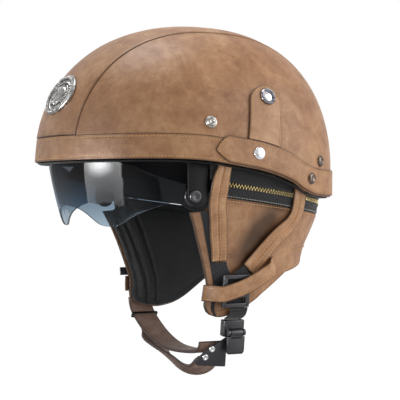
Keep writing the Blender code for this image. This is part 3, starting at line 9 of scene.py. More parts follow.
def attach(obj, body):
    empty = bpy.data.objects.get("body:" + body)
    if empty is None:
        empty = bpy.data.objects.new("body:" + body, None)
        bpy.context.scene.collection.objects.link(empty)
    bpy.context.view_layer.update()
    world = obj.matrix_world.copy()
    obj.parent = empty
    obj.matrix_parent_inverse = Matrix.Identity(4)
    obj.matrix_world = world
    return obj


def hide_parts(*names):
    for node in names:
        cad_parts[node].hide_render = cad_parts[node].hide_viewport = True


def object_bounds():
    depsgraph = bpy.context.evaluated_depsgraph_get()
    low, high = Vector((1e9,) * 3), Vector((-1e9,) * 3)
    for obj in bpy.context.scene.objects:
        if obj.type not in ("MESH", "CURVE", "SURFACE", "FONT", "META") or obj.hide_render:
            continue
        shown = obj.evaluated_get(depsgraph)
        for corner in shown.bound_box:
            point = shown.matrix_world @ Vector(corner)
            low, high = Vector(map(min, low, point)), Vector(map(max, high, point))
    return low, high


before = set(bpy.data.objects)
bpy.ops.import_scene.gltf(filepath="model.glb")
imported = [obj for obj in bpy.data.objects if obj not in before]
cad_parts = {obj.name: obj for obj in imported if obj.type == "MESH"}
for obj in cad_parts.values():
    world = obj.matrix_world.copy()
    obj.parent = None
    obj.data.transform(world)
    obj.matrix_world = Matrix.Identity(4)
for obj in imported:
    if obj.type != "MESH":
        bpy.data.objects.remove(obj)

# Leather half helmet with a drop-down smoke visor. Metres; the front faces -Y, the wearer's left is +X.
cadBox = [list(corner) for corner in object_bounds()]
sides = {"Left": 1, "Right": -1}
touch = 0.0003  # gap between faces that lie on each other

# Finishes

def hexColour(code):
    # sRGB hex to the linear colour that a shader takes
    parts = [int(code[i:i + 2], 16) / 255 for i in (1, 3, 5)]
    return tuple(c / 12.92 if c <= 0.04045 else ((c + 0.055) / 1.055) ** 2.4 for c in parts) + (1.0,)


def addNode(tree, kind, values=None, links=None, **settings):
    node = tree.nodes.new(kind)
    for name, value in settings.items():
        setattr(node, name, value)
    for socket, value in (values or {}).items():
        node.inputs[socket].default_value = value
    for socket, source in (links or {}).items():
        tree.links.new(source, node.inputs[socket])
    return node


def feed(tree, node, sources):
    for socket, source in sources.items():
        tree.links.new(source, node.inputs[socket])


def startFinish(name, sockets):
    finish = bpy.data.materials.new(name)
    finish.use_nodes = True
    shader = finish.node_tree.nodes["Principled BSDF"]
    for socket, value in sockets.items():
        shader.inputs[socket].default_value = value
    return finish, finish.node_tree, shader


def objectPlace(tree):
    return addNode(tree, "ShaderNodeTexCoord").outputs["Object"]


def colourStops(node, stops):
    ramp = node.color_ramp
    while len(ramp.elements) < len(stops):
        ramp.elements.new(1.0)
    for element, (place, colour) in zip(ramp.elements, stops):
        element.position = place
        element.color = hexColour(colour)
    return node.outputs["Color"]


# Waxed pull-up cowhide, rubbed and mottled: it lightens in clouds, and darkens at its edges as a burnished
# edge with painted shade in the seams
waxedBrown = {
    "dark": "#865A3C", "middle": "#A87B57", "light": "#C49A74", "edge": "#4A311D",
    "cloudScale": 21, "mottleScale": 95, "rough": (0.36, 0.54),
}
chinBrown = {
    "dark": "#846A5C", "middle": "#A98B7C", "light": "#C2A696", "edge": "#54403A",
    "cloudScale": 30, "mottleScale": 120, "rough": (0.5, 0.7),
}
grain = {"pore": 0.0011, "crease": 0.0035}  # drawn coarser than real pores, so that a close view shows them


def makeLeather(name, look):
    finish, tree, shader = startFinish(name, {
        "IOR": 1.45, "Specular IOR Level": 0.4, "Coat Weight": 0.11, "Coat Roughness": 0.26,
    })
    place = objectPlace(tree)
    cloud = addNode(tree, "ShaderNodeTexNoise", {
        "Scale": look["cloudScale"], "Detail": 5.0, "Roughness": 0.62, "Distortion": 0.9,
    }, {"Vector": place})
    mottle = addNode(tree, "ShaderNodeTexNoise", {
        "Scale": look["mottleScale"], "Detail": 6.0, "Roughness": 0.7, "Distortion": 0.4,
    }, {"Vector": place})
    blend = addNode(tree, "ShaderNodeMix", {0: 0.45}, {
        2: cloud.outputs["Fac"], 3: mottle.outputs["Fac"],
    }, data_type="FLOAT")
    tone = addNode(tree, "ShaderNodeValToRGB", links={"Fac": blend.outputs[0]})
    hide = colourStops(tone, ((0.32, look["dark"]), (0.50, look["middle"]), (0.68, look["light"])))
    edge = addNode(tree, "ShaderNodeAttribute", attribute_name="edge")  # 0 at a cut edge, 1 inside
    # The edge colour paints cut edges darker: partly a burnished edge, partly painted shade in the seams, and
    # on the ear flaps also painted shade in a hollow
    edgeWearAndShade = addNode(tree, "ShaderNodeMix", {6: hexColour(look["edge"])}, {
        0: edge.outputs["Fac"], 7: hide,
    }, data_type="RGBA")
    rough = addNode(tree, "ShaderNodeMapRange", {3: look["rough"][1], 4: look["rough"][0]}, {
        0: mottle.outputs["Fac"],
    })
    pores = addNode(tree, "ShaderNodeTexVoronoi", {"Scale": 1 / grain["pore"]}, {"Vector": place})
    creases = addNode(tree, "ShaderNodeTexNoise", {
        "Scale": 1 / grain["crease"], "Detail": 4.0, "Distortion": 1.6,
    }, {"Vector": place})
    relief = addNode(tree, "ShaderNodeMath", links={
        0: pores.outputs["Distance"], 1: creases.outputs["Fac"],
    }, operation="ADD")
    bump = addNode(tree, "ShaderNodeBump", {"Strength": 0.5, "Distance": 0.00022}, {
        "Height": relief.outputs[0],
    })
    feed(tree, shader, {
        "Base Color": edgeWearAndShade.outputs[2], "Roughness": rough.outputs[0], "Normal": bump.outputs[0],
    })
    return finish


def makeWoven(name, look):
    # Threads run along the piece's own flat map, in metres
    finish, tree, shader = startFinish(name, {
        "Roughness": 0.82, "IOR": 1.45, "Sheen Weight": 0.25, "Sheen Roughness": 0.5,
    })
    flat = addNode(tree, "ShaderNodeUVMap", uv_map="flat").outputs[0]
    across = addNode(tree, "ShaderNodeTexWave", {"Scale": 0.16 / look["rib"], "Distortion": 0.0}, {
        "Vector": flat,
    }, bands_direction="X")
    along = addNode(tree, "ShaderNodeTexWave", {"Scale": 0.16 / look["thread"], "Distortion": 0.3}, {
        "Vector": flat,
    }, bands_direction="Y")
    weave = addNode(tree, "ShaderNodeMath", links={
        0: across.outputs["Fac"], 1: along.outputs["Fac"],
    }, operation="MULTIPLY")
    tone = addNode(tree, "ShaderNodeValToRGB", links={"Fac": weave.outputs[0]})
    bump = addNode(tree, "ShaderNodeBump", {"Strength": 0.6, "Distance": 0.0003}, {
        "Height": weave.outputs[0],
    })
    feed(tree, shader, {
        "Base Color": colourStops(tone, ((0.0, look["dark"]), (0.8, look["light"]))),
        "Normal": bump.outputs[0],
    })
    return finish


def makeKnit(name, look):
    # Brushed polyester knit over foam: no gloss, a soft sheen, and a fine pile
    finish, tree, shader = startFinish(name, {
        "Roughness": 0.9, "Sheen Weight": 0.35, "Sheen Roughness": 0.45,
    })
    place = objectPlace(tree)
    pile = addNode(tree, "ShaderNodeTexVoronoi", {"Scale": 1 / look["loop"]}, {"Vector": place})
    cloud = addNode(tree, "ShaderNodeTexNoise", {"Scale": 45.0, "Detail": 4.0}, {"Vector": place})
    tone = addNode(tree, "ShaderNodeValToRGB", links={"Fac": cloud.outputs["Fac"]})
    bump = addNode(tree, "ShaderNodeBump", {"Strength": 0.5, "Distance": 0.0003}, {
        "Height": pile.outputs["Distance"],
    })
    feed(tree, shader, {
        "Base Color": colourStops(tone, ((0.3, look["dark"]), (0.7, look["light"]))),
        "Normal": bump.outputs[0],
    })
    return finish


def makeMoulded(name, look):
    # Injection-moulded polymer: an even satin skin with a fine spark-eroded texture
    finish, tree, shader = startFinish(name, {"Specular IOR Level": look["gloss"], "IOR": 1.5})
    texture = addNode(tree, "ShaderNodeTexNoise", {"Scale": 1 / look["texture"], "Detail": 3.0}, {
        "Vector": objectPlace(tree),
    })
    tone = addNode(tree, "ShaderNodeValToRGB", links={"Fac": texture.outputs["Fac"]})
    rough = addNode(tree, "ShaderNodeMapRange", {3: look["rough"] - 0.06, 4: look["rough"] + 0.06}, {
        0: texture.outputs["Fac"],
    })
    bump = addNode(tree, "ShaderNodeBump", {"Strength": 0.3, "Distance": 0.0001}, {
        "Height": texture.outputs["Fac"],
    })
    feed(tree, shader, {
        "Base Color": colourStops(tone, ((0.3, look["dark"]), (0.7, look["light"]))),
        "Roughness": rough.outputs[0], "Normal": bump.outputs[0],
    })
    return finish


def makeMetal(name, look):
    # Plated or cast metal, with faint rubbing that breaks up its shine
    finish, tree, shader = startFinish(name, {"Metallic": 1.0})
    rubbing = addNode(tree, "ShaderNodeTexNoise", {"Scale": look["scale"], "Detail": 5.0}, {
        "Vector": objectPlace(tree),
    })
    tone = addNode(tree, "ShaderNodeValToRGB", links={"Fac": rubbing.outputs["Fac"]})
    rough = addNode(tree, "ShaderNodeMapRange", {3: look["rough"][0], 4: look["rough"][1]}, {
        0: rubbing.outputs["Fac"],
    })
    feed(tree, shader, {
        "Base Color": colourStops(tone, ((0.35, look["dark"]), (0.65, look["light"]))),
        "Roughness": rough.outputs[0],
    })
    return finish


def makeSmokeLens(name, look):
    # Hard-coated polycarbonate: a mirror-like gloss over a smoke tint that thins towards the lower edge
    finish, tree, shader = startFinish(name, {
        "Metallic": 1.0, "Roughness": 0.035, "Base Color": (1, 1, 1, 1),
    })
    height = addNode(tree, "ShaderNodeSeparateXYZ", links={0: objectPlace(tree)})
    fade = addNode(tree, "ShaderNodeMapRange", {1: look["low"], 2: look["high"]}, {0: height.outputs["Z"]})
    tone = addNode(tree, "ShaderNodeValToRGB", links={"Fac": fade.outputs[0]})
    through = addNode(tree, "ShaderNodeBsdfTransparent", links={0: colourStops(tone, look["tint"])})
    turned = addNode(tree, "ShaderNodeLayerWeight", {"Blend": 0.5})
    grazing = addNode(tree, "ShaderNodeMath", {1: 4.0}, {0: turned.outputs["Facing"]}, operation="POWER")
    gloss = addNode(
        tree, "ShaderNodeMath", {1: 0.38, 2: 0.018}, {0: grazing.outputs[0]}, operation="MULTIPLY_ADD"
    )
    coat = addNode(tree, "ShaderNodeMixShader", links={
        0: gloss.outputs[0], 1: through.outputs[0], 2: shader.outputs[0],
    })
    # The cut edge faces up or down; it is dark and scatters light
    normal = addNode(tree, "ShaderNodeNewGeometry").outputs["Normal"]
    slope = addNode(tree, "ShaderNodeSeparateXYZ", links={0: normal})
    upright = addNode(tree, "ShaderNodeMath", links={0: slope.outputs["Z"]}, operation="ABSOLUTE")
    isEdge = addNode(tree, "ShaderNodeMath", {1: 0.7}, {0: upright.outputs[0]}, operation="GREATER_THAN")
    cut = addNode(tree, "ShaderNodeBsdfPrincipled", {
        "Base Color": hexColour(look["edge"]), "Roughness": 0.5, "IOR": 1.58,
    })
    body = addNode(tree, "ShaderNodeMixShader", links={
        0: isEdge.outputs[0], 1: coat.outputs[0], 2: cut.outputs[0],
    })
    feed(tree, tree.nodes["Material Output"], {"Surface": body.outputs[0]})
    return finish


def makeFoam(name, look):
    # Expanded polystyrene: fused beads
    finish, tree, shader = startFinish(name, {"Roughness": 0.9})
    beads = addNode(tree, "ShaderNodeTexVoronoi", {"Scale": 1 / look["bead"]}, {"Vector": objectPlace(tree)})
    tone = addNode(tree, "ShaderNodeValToRGB", links={"Fac": beads.outputs["Distance"]})
    bump = addNode(tree, "ShaderNodeBump", {"Strength": 0.7, "Distance": 0.0006}, {
        "Height": beads.outputs["Distance"],
    })
    feed(tree, shader, {
        "Base Color": colourStops(tone, ((0.0, look["light"]), (0.8, look["dark"]))),
        "Normal": bump.outputs[0],
    })
    return finish


def makeThread(name, colours):
    # Bonded nylon thread: waxed, with a twist
    finish, tree, shader = startFinish(name, {"Roughness": 0.5, "Sheen Weight": 0.2})
    twist = addNode(tree, "ShaderNodeTexNoise", {"Scale": 900.0, "Detail": 2.0}, {
        "Vector": objectPlace(tree),
    })
    tone = addNode(tree, "ShaderNodeValToRGB", links={"Fac": twist.outputs["Fac"]})
    feed(tree, shader, {"Base Color": colourStops(tone, ((0.3, colours[0]), (0.7, colours[1])))})
    return finish


finishes = {
    "leather": makeLeather("waxedCowhide", waxedBrown),
    "chinLeather": makeLeather("softCowhide", chinBrown),
    "binding": makeLeather("turnedEdgeCowhide", {
        **waxedBrown, "dark": "#775439", "middle": "#966F51", "light": "#B28B69",
    }),
    # A lighter copy of the waxed cowhide: painted light on the vent patches, straps and keeper bands
    "paintedLitLeather": makeLeather("paintedLitCowhide", {
        **waxedBrown, "dark": "#926646", "middle": "#B78A65", "light": "#D3AA86",
    }),
    "tape": makeWoven("polyesterZipTape", {
        "dark": "#0D0D0F", "light": "#27282B", "rib": 0.0008, "thread": 0.0008,
    }),
    "webbing": makeWoven("nylonWebbing", {
        "dark": "#121214", "light": "#34343A", "rib": 0.0014, "thread": 0.0010,
    }),
    "knit": makeKnit("brushedKnit", {"dark": "#17181B", "light": "#222327", "loop": 0.0010}),
    "plastic": makeMoulded("mouldedAcetal", {
        "dark": "#0B0B0E", "light": "#131316", "texture": 0.0007, "rough": 0.50, "gloss": 0.2,
    }),
    "glossPlastic": makeMoulded("polishedNylon", {
        "dark": "#26262B", "light": "#35353C", "texture": 0.0010, "rough": 0.30, "gloss": 0.7,
    }),
    "shell": makeMoulded("mouldedABS", {
        "dark": "#0B0A0A", "light": "#121110", "texture": 0.0012, "rough": 0.5, "gloss": 0.4,
    }),
    **{
        slot: makeMetal(name, {"dark": dark, "light": light, "rough": rough, "scale": scale})
        for slot, name, dark, light, rough, scale in (
            ("chrome", "chromePlatedBrass", "#DCDDE0", "#F8F8FA", (0.08, 0.11), 60),
            ("smokedChrome", "smokedChrome", "#6C6A70", "#9C9AA1", (0.10, 0.18), 60),
            ("snap", "brushedNickelPlate", "#8F8B86", "#BDBAB4", (0.22, 0.36), 400),
            ("nickel", "blackNickelPlate", "#5D5148", "#8A7C70", (0.18, 0.34), 350),
            ("brass", "antiqueBrass", "#C9AC6C", "#F6E4B4", (0.22, 0.4), 500),
            ("pewterLight", "polishedPewter", "#757371", "#B2B0AE", (0.2, 0.38), 260),
            ("pewterDark", "blackenedPewter", "#2E2C2C", "#4A4746", (0.35, 0.55), 260),
        )
    },
    "lens": makeSmokeLens("smokePolycarbonate", {
        "low": -0.050, "high": 0.002, "edge": "#4A5060",
        "tint": ((0.0, "#C6D3DB"), (0.42, "#A9B6C1"), (0.85, "#8F949C"), (1.0, "#888C94")),
    }),
    "foam": makeFoam("expandedPolystyrene", {"dark": "#0F0F12", "light": "#1C1C20", "bead": 0.0035}),
    "thread": makeThread("waxedNylonThread", ("#C08A4C", "#E0B176")),
    "paleThread": makeThread("paleNylonThread", ("#9F9B90", "#CBC7BA")),
    "darkThread": makeThread("brownNylonThread", ("#86684F", "#B09074")),
}
print("stage: finishes", len(finishes))

# Meshes

# How far in from a cut edge the leather darkens, as a burnished edge and painted shade in the seams
darkEdgeReach = 0.0016  # how far in from a cut edge the leather is dark


def follow(table, at):
    # A smooth curve through a table whose rows start with their place
    places = [row[0] for row in table]
    at = min(max(at, places[0]), places[-1])
    step = next(i for i in range(len(table) - 1) if at <= places[i + 1])
    before, start = table[max(step - 1, 0)], table[step]
    end, after = table[step + 1], table[min(step + 2, len(table) - 1)]
    width = end[0] - start[0]
    t = (at - start[0]) / width
    values = []
    for i in range(1, len(start)):
        slopeIn = (end[i] - before[i]) / (end[0] - before[0]) * width
        slopeOut = (after[i] - start[i]) / (after[0] - start[0]) * width
        values.append(
            start[i] * (2 * t**3 - 3 * t**2 + 1) + slopeIn * (t**3 - 2 * t**2 + t)
            + end[i] * (3 * t**2 - 2 * t**3) + slopeOut * (t**3 - t**2)
        )
    return values[0] if len(values) == 1 else values


def mix(start, end, share):
    return start + (end - start) * share


def bell(distance, width):
    return math.exp(-((distance / width) ** 2))


def shares(count, length=0.0, roll=0.0):
    # Even steps from 0 to 1, with close ones at both ends where the edge rolls over
    even = [i / count for i in range(count + 1)]
    if not roll:
        return even
    near = [roll * part / length for part in (0.12, 0.35, 0.65, 1.0)]
    inside = [s for s in even if near[-1] * 1.5 < s < 1 - near[-1] * 1.5]
    return [0.0, *near, *inside, *(1 - s for s in reversed(near)), 1.0]


def addObject(name, data):
    made = bpy.data.objects.new(name, data)
    bpy.context.scene.collection.objects.link(made)
    return made


def linkPiece(name, mesh, finish):
    piece = addObject(name, mesh)
    if finish:
        mesh.materials.clear()
        mesh.materials.append(finishes[finish])
    return piece


def softEdges(mesh, limit=48):
    mesh.shade_smooth()
    mesh.set_sharp_from_angle(angle=math.radians(limit))


def tidyMesh(mesh):
    work = bmesh.new()
    work.from_mesh(mesh)
    bmesh.ops.remove_doubles(work, verts=work.verts[:], dist=0.000002)
    bmesh.ops.dissolve_degenerate(work, edges=work.edges[:], dist=0.000001)
    bmesh.ops.recalc_face_normals(work, faces=work.faces[:])
    work.to_mesh(mesh)
    work.free()


def sheetPiece(
    name, finish, us, vs, base, lift, thick, size, roll=0.0006, relief=None, ring=False, rim=None, shadeAndGrime=None
):
    # A closed sheet: base(u, v) is a place on the piece's surface, and lift(place, out) raises it.
    # Its edge rolls over, and the "edge" attribute runs from 0 at the edge to 1 inside; the leather is darker
    # towards 0, as a burnished edge and painted seam shade.
    # us and vs are step counts, or the steps themselves.
    us, vs = (
        shares(steps, length, roll) if isinstance(steps, int) else steps
        for steps, length in zip((us, vs), size)
    )
    verts, edges, maps = [], [], []
    bases = [[base(u, v) for u in us] for v in vs]
    for layer in (0, 1):
        for row, v in enumerate(vs):
            for column, u in enumerate(us):
                along = 1.0 if ring else min(u, 1 - u) * size[0]
                near = rim(u, v) if rim else min(along, min(v, 1 - v) * size[1])
                turn = roll - math.sqrt(max(roll**2 - (roll - near) ** 2, 0)) if near < roll else 0.0
                out = -thick + turn if layer else -turn + (relief(u, v) if relief else 0.0)
                verts.append(lift(bases[row][column], out))
                # An optional darkening lowers it further: on the ear flaps, painted shade in the hollow by
                # the rear strap, a darker top edge, and grime
                edges.append(min(near / darkEdgeReach, 1.0) * (1 - (shadeAndGrime(u, v) if shadeAndGrime else 0)))
                maps.append((u * size[0], v * size[1]))
    wide, high = len(us), len(vs)
    half = wide * high
    faces = []
    for row in range(high - 1):
        for column in range(wide - 1):
            a = row * wide + column
            faces.append((a, a + 1, a + wide + 1, a + wide))
            faces.append((half + a, half + a + wide, half + a + wide + 1, half + a + 1))
    for column in range(wide - 1):
        for a, b in ((column, column + 1), ((high - 1) * wide + column + 1, (high - 1) * wide + column)):
            faces.append((b, a, half + a, half + b))
    if not ring:
        for row in range(high - 1):
            last = (row + 1) * wide - 1
            for a, b in ((last + 1, last + 1 - wide), (last, last + wide)):
                faces.append((b, a, half + a, half + b))
    mesh = bpy.data.meshes.new(name)
    mesh.from_pydata([tuple(v) for v in verts], [], faces)
    layerMap = mesh.uv_layers.new(name="flat")
    for loop in mesh.loops:
        layerMap.data[loop.index].uv = maps[loop.vertex_index]
    attribute = mesh.attributes.new("edge", "FLOAT", "POINT")
    attribute.data.foreach_set("value", edges)
    tidyMesh(mesh)
    softEdges(mesh)
    return linkPiece(name, mesh, finish)


def dress(piece, body, slot, *nodes):
    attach(piece, body)
    if nodes:
        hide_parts(*nodes)
    return piece


def turnedMesh(name, profile, steps=48):
    # The profile starts and ends on the axis, and runs down the outer side
    verts, faces = [], []
    for step in range(steps):
        angle = 2 * math.pi * step / steps
        verts += [(r * math.cos(angle), r * math.sin(angle), z) for r, z in profile]
    count = len(profile)
    for step in range(steps):
        here, there = step * count, (step + 1) % steps * count
        for i in range(count - 1):
            faces.append((here + i, here + i + 1, there + i + 1, there + i))
    mesh = bpy.data.meshes.new(name)
    mesh.from_pydata(verts, [], faces)
    tidyMesh(mesh)
    softEdges(mesh, 40)
    return mesh


def blockMesh(name, outline, low, high, bevel, place=None, segments=3):
    # An outline pushed through from low to high, with rounded edges
    work = bmesh.new()
    floor = work.faces.new([work.verts.new((x, y, low)) for x, y in outline])
    for item in bmesh.ops.extrude_face_region(work, geom=[floor])["geom"]:
        if isinstance(item, bmesh.types.BMVert):
            item.co.z = high
    bmesh.ops.recalc_face_normals(work, faces=work.faces[:])
    if bevel:
        bmesh.ops.bevel(
            work, geom=work.edges[:], offset=bevel, segments=segments, affect="EDGES", profile=0.5,
            clamp_overlap=True,
        )
    if place:
        bmesh.ops.transform(work, matrix=place, verts=work.verts[:])
    mesh = bpy.data.meshes.new(name)
    work.to_mesh(mesh)
    work.free()
    return mesh


def joinMeshes(name, meshes):
    work = bmesh.new()
    for mesh in meshes:
        work.from_mesh(mesh)
        bpy.data.meshes.remove(mesh)
    made = bpy.data.meshes.new(name)
    work.to_mesh(made)
    work.free()
    softEdges(made, 40)
    return made


def rectangle(width, height, x=0.0, y=0.0):
    return [(x + a * width / 2, y + b * height / 2) for a, b in ((-1, -1), (1, -1), (1, 1), (-1, 1))]


def circle(radius, count, x=0.0, y=0.0):
    turns = [2 * math.pi * i / count for i in range(count)]
    return [(x + radius * math.cos(turn), y + radius * math.sin(turn)) for turn in turns]


# What repeats

def treeInputs(name, sockets):
    tree = bpy.data.node_groups.new(name, "GeometryNodeTree")
    tree.interface.new_socket("Geometry", in_out="INPUT", socket_type="NodeSocketGeometry")
    for socket, kind in sockets:
        tree.interface.new_socket(socket, in_out="INPUT", socket_type="NodeSocket" + kind)
    tree.interface.new_socket("Geometry", in_out="OUTPUT", socket_type="NodeSocketGeometry")
    return tree, addNode(tree, "NodeGroupInput").outputs


def finishTree(tree, copies, finish):
    real = addNode(tree, "GeometryNodeRealizeInstances", links={0: copies})
    smooth = addNode(tree, "GeometryNodeSetShadeSmooth", links={"Geometry": real.outputs[0]})
    made = addNode(tree, "GeometryNodeSetMaterial", links={"Geometry": smooth.outputs[0], "Material": finish})
    addNode(tree, "NodeGroupOutput", links={0: made.outputs[0]})
    return tree


def facing(tree, alongVector):
    # X follows the row, Z points off the surface
    along = addNode(tree, "FunctionNodeAlignRotationToVector", links={"Vector": alongVector}, axis="X")
    outward = addNode(tree, "GeometryNodeInputNamedAttribute", {"Name": "out"}, data_type="FLOAT_VECTOR")
    return addNode(tree, "FunctionNodeAlignRotationToVector", links={
        "Rotation": along.outputs[0], "Vector": outward.outputs[0],
    }, axis="Z", pivot_axis="X").outputs[0]


def stitchTree():
    tree, given = treeInputs("sewnRow", (
        ("Pitch", "Float"), ("Length", "Float"), ("Radius", "Float"), ("Thread", "Material"),
    ))
    row = addNode(tree, "GeometryNodeMeshToCurve", links={"Mesh": given["Geometry"]})
    spaced = addNode(tree, "GeometryNodeResampleCurve", links={
        "Curve": row.outputs[0], "Length": given["Pitch"],
    }, mode="LENGTH")
    bead = addNode(tree, "GeometryNodeMeshUVSphere", {"Segments": 8, "Rings": 5, "Radius": 0.5})
    wide = addNode(tree, "ShaderNodeMath", {1: 2.0}, {0: given["Radius"]}, operation="MULTIPLY")
    shape = addNode(
        tree, "ShaderNodeCombineXYZ", links={0: given["Length"], 1: wide.outputs[0], 2: wide.outputs[0]}
    )
    stitch = addNode(
        tree, "GeometryNodeTransform", links={"Geometry": bead.outputs[0], "Scale": shape.outputs[0]}
    )
    copies = addNode(tree, "GeometryNodeInstanceOnPoints", links={
        "Points": spaced.outputs[0], "Instance": stitch.outputs[0],
        "Rotation": facing(tree, addNode(tree, "GeometryNodeInputTangent").outputs[0]),
    })
    return finishTree(tree, copies.outputs[0], given["Thread"])


def teethTree():
    tree, given = treeInputs("zipperTeeth", (
        ("Pitch", "Float"), ("Tooth Size", "Vector"), ("Step", "Float"), ("Metal", "Material"),
    ))
    row = addNode(tree, "GeometryNodeMeshToCurve", links={"Mesh": given["Geometry"]})
    spaced = addNode(tree, "GeometryNodeResampleCurve", links={
        "Curve": row.outputs[0], "Length": given["Pitch"],
    }, mode="LENGTH")
    tooth = addNode(tree, "GeometryNodeMeshCube", links={"Size": given["Tooth Size"]})
    copies = addNode(tree, "GeometryNodeInstanceOnPoints", links={
        "Points": spaced.outputs[0], "Instance": tooth.outputs[0],
        "Rotation": facing(tree, addNode(tree, "GeometryNodeInputTangent").outputs[0]),
    })
    index = addNode(tree, "GeometryNodeInputIndex").outputs[0]
    odd = addNode(tree, "ShaderNodeMath", {1: 2.0}, {0: index}, operation="MODULO")
    turn = addNode(tree, "ShaderNodeMath", {1: 2.0, 2: -1.0}, {0: odd.outputs[0]}, operation="MULTIPLY_ADD")
    step = addNode(tree, "ShaderNodeMath", links={0: turn.outputs[0], 1: given["Step"]}, operation="MULTIPLY")
    shift = addNode(tree, "ShaderNodeCombineXYZ", links={1: step.outputs[0]})
    moved = addNode(tree, "GeometryNodeTranslateInstances", links={
        "Instances": copies.outputs[0], "Translation": shift.outputs[0],
    })
    return finishTree(tree, moved.outputs[0], given["Metal"])


def studTree():
    # A turned fitting on each point, standing off the surface
    tree, given = treeInputs("setStuds", (("Fitting", "Object"), ("Metal", "Material")))
    fitting = addNode(tree, "GeometryNodeObjectInfo", links={"Object": given["Fitting"]})
    outward = addNode(tree, "GeometryNodeInputNamedAttribute", {"Name": "out"}, data_type="FLOAT_VECTOR")
    turn = addNode(tree, "FunctionNodeAlignRotationToVector", links={"Vector": outward.outputs[0]}, axis="Z")
    copies = addNode(tree, "GeometryNodeInstanceOnPoints", links={
        "Points": given["Geometry"], "Instance": fitting.outputs["Geometry"], "Rotation": turn.outputs[0],
    })
    real = addNode(tree, "GeometryNodeRealizeInstances", links={0: copies.outputs[0]})
    made = addNode(tree, "GeometryNodeSetMaterial", links={
        "Geometry": real.outputs[0], "Material": given["Metal"],
    })
    addNode(tree, "NodeGroupOutput", links={0: made.outputs[0]})
    return tree


def rowsMesh(name, rows):
    # Each row is a list of points and the directions off the surface there
    verts, lines, outs = [], [], []
    for points, directions in rows:
        first = len(verts)
        verts += [tuple(p) for p in points]
        outs += [tuple(d) for d in directions]
        lines += [(i, i + 1) for i in range(first, len(verts) - 1)]
    mesh = bpy.data.meshes.new(name)
    mesh.from_pydata(verts, lines, [])
    attribute = mesh.attributes.new("out", "FLOAT_VECTOR", "POINT")
    attribute.data.foreach_set("vector", [value for out in outs for value in out])
    return mesh


def bakeNodes(name, mesh, tree, given):
    holder = addObject(name + "Rows", mesh)
    maker = holder.modifiers.new("make", "NODES")
    maker.node_group = tree
    for socket in tree.interface.items_tree:
        if socket.name in given:
            maker[socket.identifier] = given[socket.name]
    bpy.context.view_layer.update()
    graph = bpy.context.evaluated_depsgraph_get()
    made = bpy.data.meshes.new_from_object(holder.evaluated_get(graph), depsgraph=graph)
    bpy.data.objects.remove(holder)
    return linkPiece(name, made, None)


def offSurface(lift, place):
    return (lift(place, 0.001) - lift(place, 0.0)).normalized()


def sewnRow(rows, base, lift, track, rise=0.0001):
    # A row of stitches along a track of (u, v) places on a sheet
    places = [base(u, v) for u, v in track]
    rows.append(([lift(p, rise) for p in places], [offSurface(lift, p) for p in places]))


def straightTrack(start, end, count):
    steps = [i / count for i in range(count + 1)]
    return [(mix(start[0], end[0], step), mix(start[1], end[1], step)) for step in steps]


stitch = {"pitch": 0.0031, "length": 0.0025, "radius": 0.00042}
sewn = stitchTree()


def sewPiece(name, rows, body, thread="thread", scale=1.0):
    piece = bakeNodes(name, rowsMesh(name, rows), sewn, {
        "Pitch": stitch["pitch"] * scale, "Length": stitch["length"] * scale,
        "Radius": stitch["radius"] * scale, "Thread": finishes[thread],
    })
    return dress(piece, body, "leather")


# Dome

dome = {
    "halfWidth": 0.1186, "front": 0.1482, "rear": 0.1358, "height": 0.1389, "skirt": 0.305,
    "planPower": 2.32, "risePower": 2.26, "leather": 0.0014,
    "bandWidth": 0.0222, "join": 0.00025, "seamFront": 0.0470, "seamCrown": 0.0545, "seamRear": 0.0600,
}
rimDrop = (
    (-1.0, 0.02), (-0.55, 0.0), (-0.28, 0.05), (-0.05, 0.20), (0.13, 0.33), (0.34, 0.59), (0.45, 0.82),
    (0.60, 0.98), (1.0, 1.0),
)


def planPoint(angle, halfWidth, front, rear):
    # The angle is 0 at the front and a quarter turn at the left
    power = 2 / dome["planPower"]
    across, along = math.sin(angle), -math.cos(angle)
    x = halfWidth * math.copysign(abs(across) ** power, across)
    return x, (front if along < 0 else rear) * math.copysign(abs(along) ** power, along)


def planAngle(y, front, rear):
    share = y / (front if y < 0 else rear)
    return math.acos(-math.copysign(abs(share) ** (dome["planPower"] / 2), share))


def eggValue(point, halfWidth, front, rear, height, skirt, power):
    across = abs(point.x) / halfWidth
    along = abs(point.y) / (front if point.y < 0 else rear)
    up = abs(point.z) / (height if point.z >= 0 else skirt)
    plan = dome["planPower"]
    return (across**plan + along**plan) ** (power / plan) + up**power


def grown(egg, out=0.0):
    sizes = (egg[key] + out for key in ("halfWidth", "front", "rear", "height"))
    return (*sizes, egg["skirt"], egg["risePower"])


def skin(point, out):
    # The same direction on the dome grown by out
    return point * eggValue(point, *grown(dome, out)) ** (-1 / dome["risePower"])


def drawIn(z):
    height = dome["height"] if z >= 0 else dome["skirt"]
    return (1 - abs(z / height) ** dome["risePower"]) ** (1 / dome["risePower"])


def onShell(angle, z):
    x, y = planPoint(angle, dome["halfWidth"], dome["front"], dome["rear"])
    return Vector((x * drawIn(z), y * drawIn(z), z))


def shellSide(y, z, side):
    along = abs(y) / (dome["front"] if y < 0 else dome["rear"])
    left = drawIn(z) ** dome["planPower"] - along ** dome["planPower"]
    return Vector((side * dome["halfWidth"] * left ** (1 / dome["planPower"]), y, z))


def shellEnd(x, z, end):
    left = drawIn(z) ** dome["planPower"] - abs(x / dome["halfWidth"]) ** dome["planPower"]
    reach = (dome["front"] if end < 0 else dome["rear"]) * left ** (1 / dome["planPower"])
    return Vector((x, end * reach, z))


def shellNormal(point):
    sizes = grown(dome)
    steps = [Vector((0.001 if i == axis else 0.0 for i in range(3))) for axis in range(3)]
    return Vector([eggValue(point + s, *sizes) - eggValue(point - s, *sizes) for s in steps]).normalized()


def rimHeight(y):
    share = y / (dome["front"] if y < 0 else dome["rear"])
    return 0.0088 - 0.033 * follow(rimDrop, share)


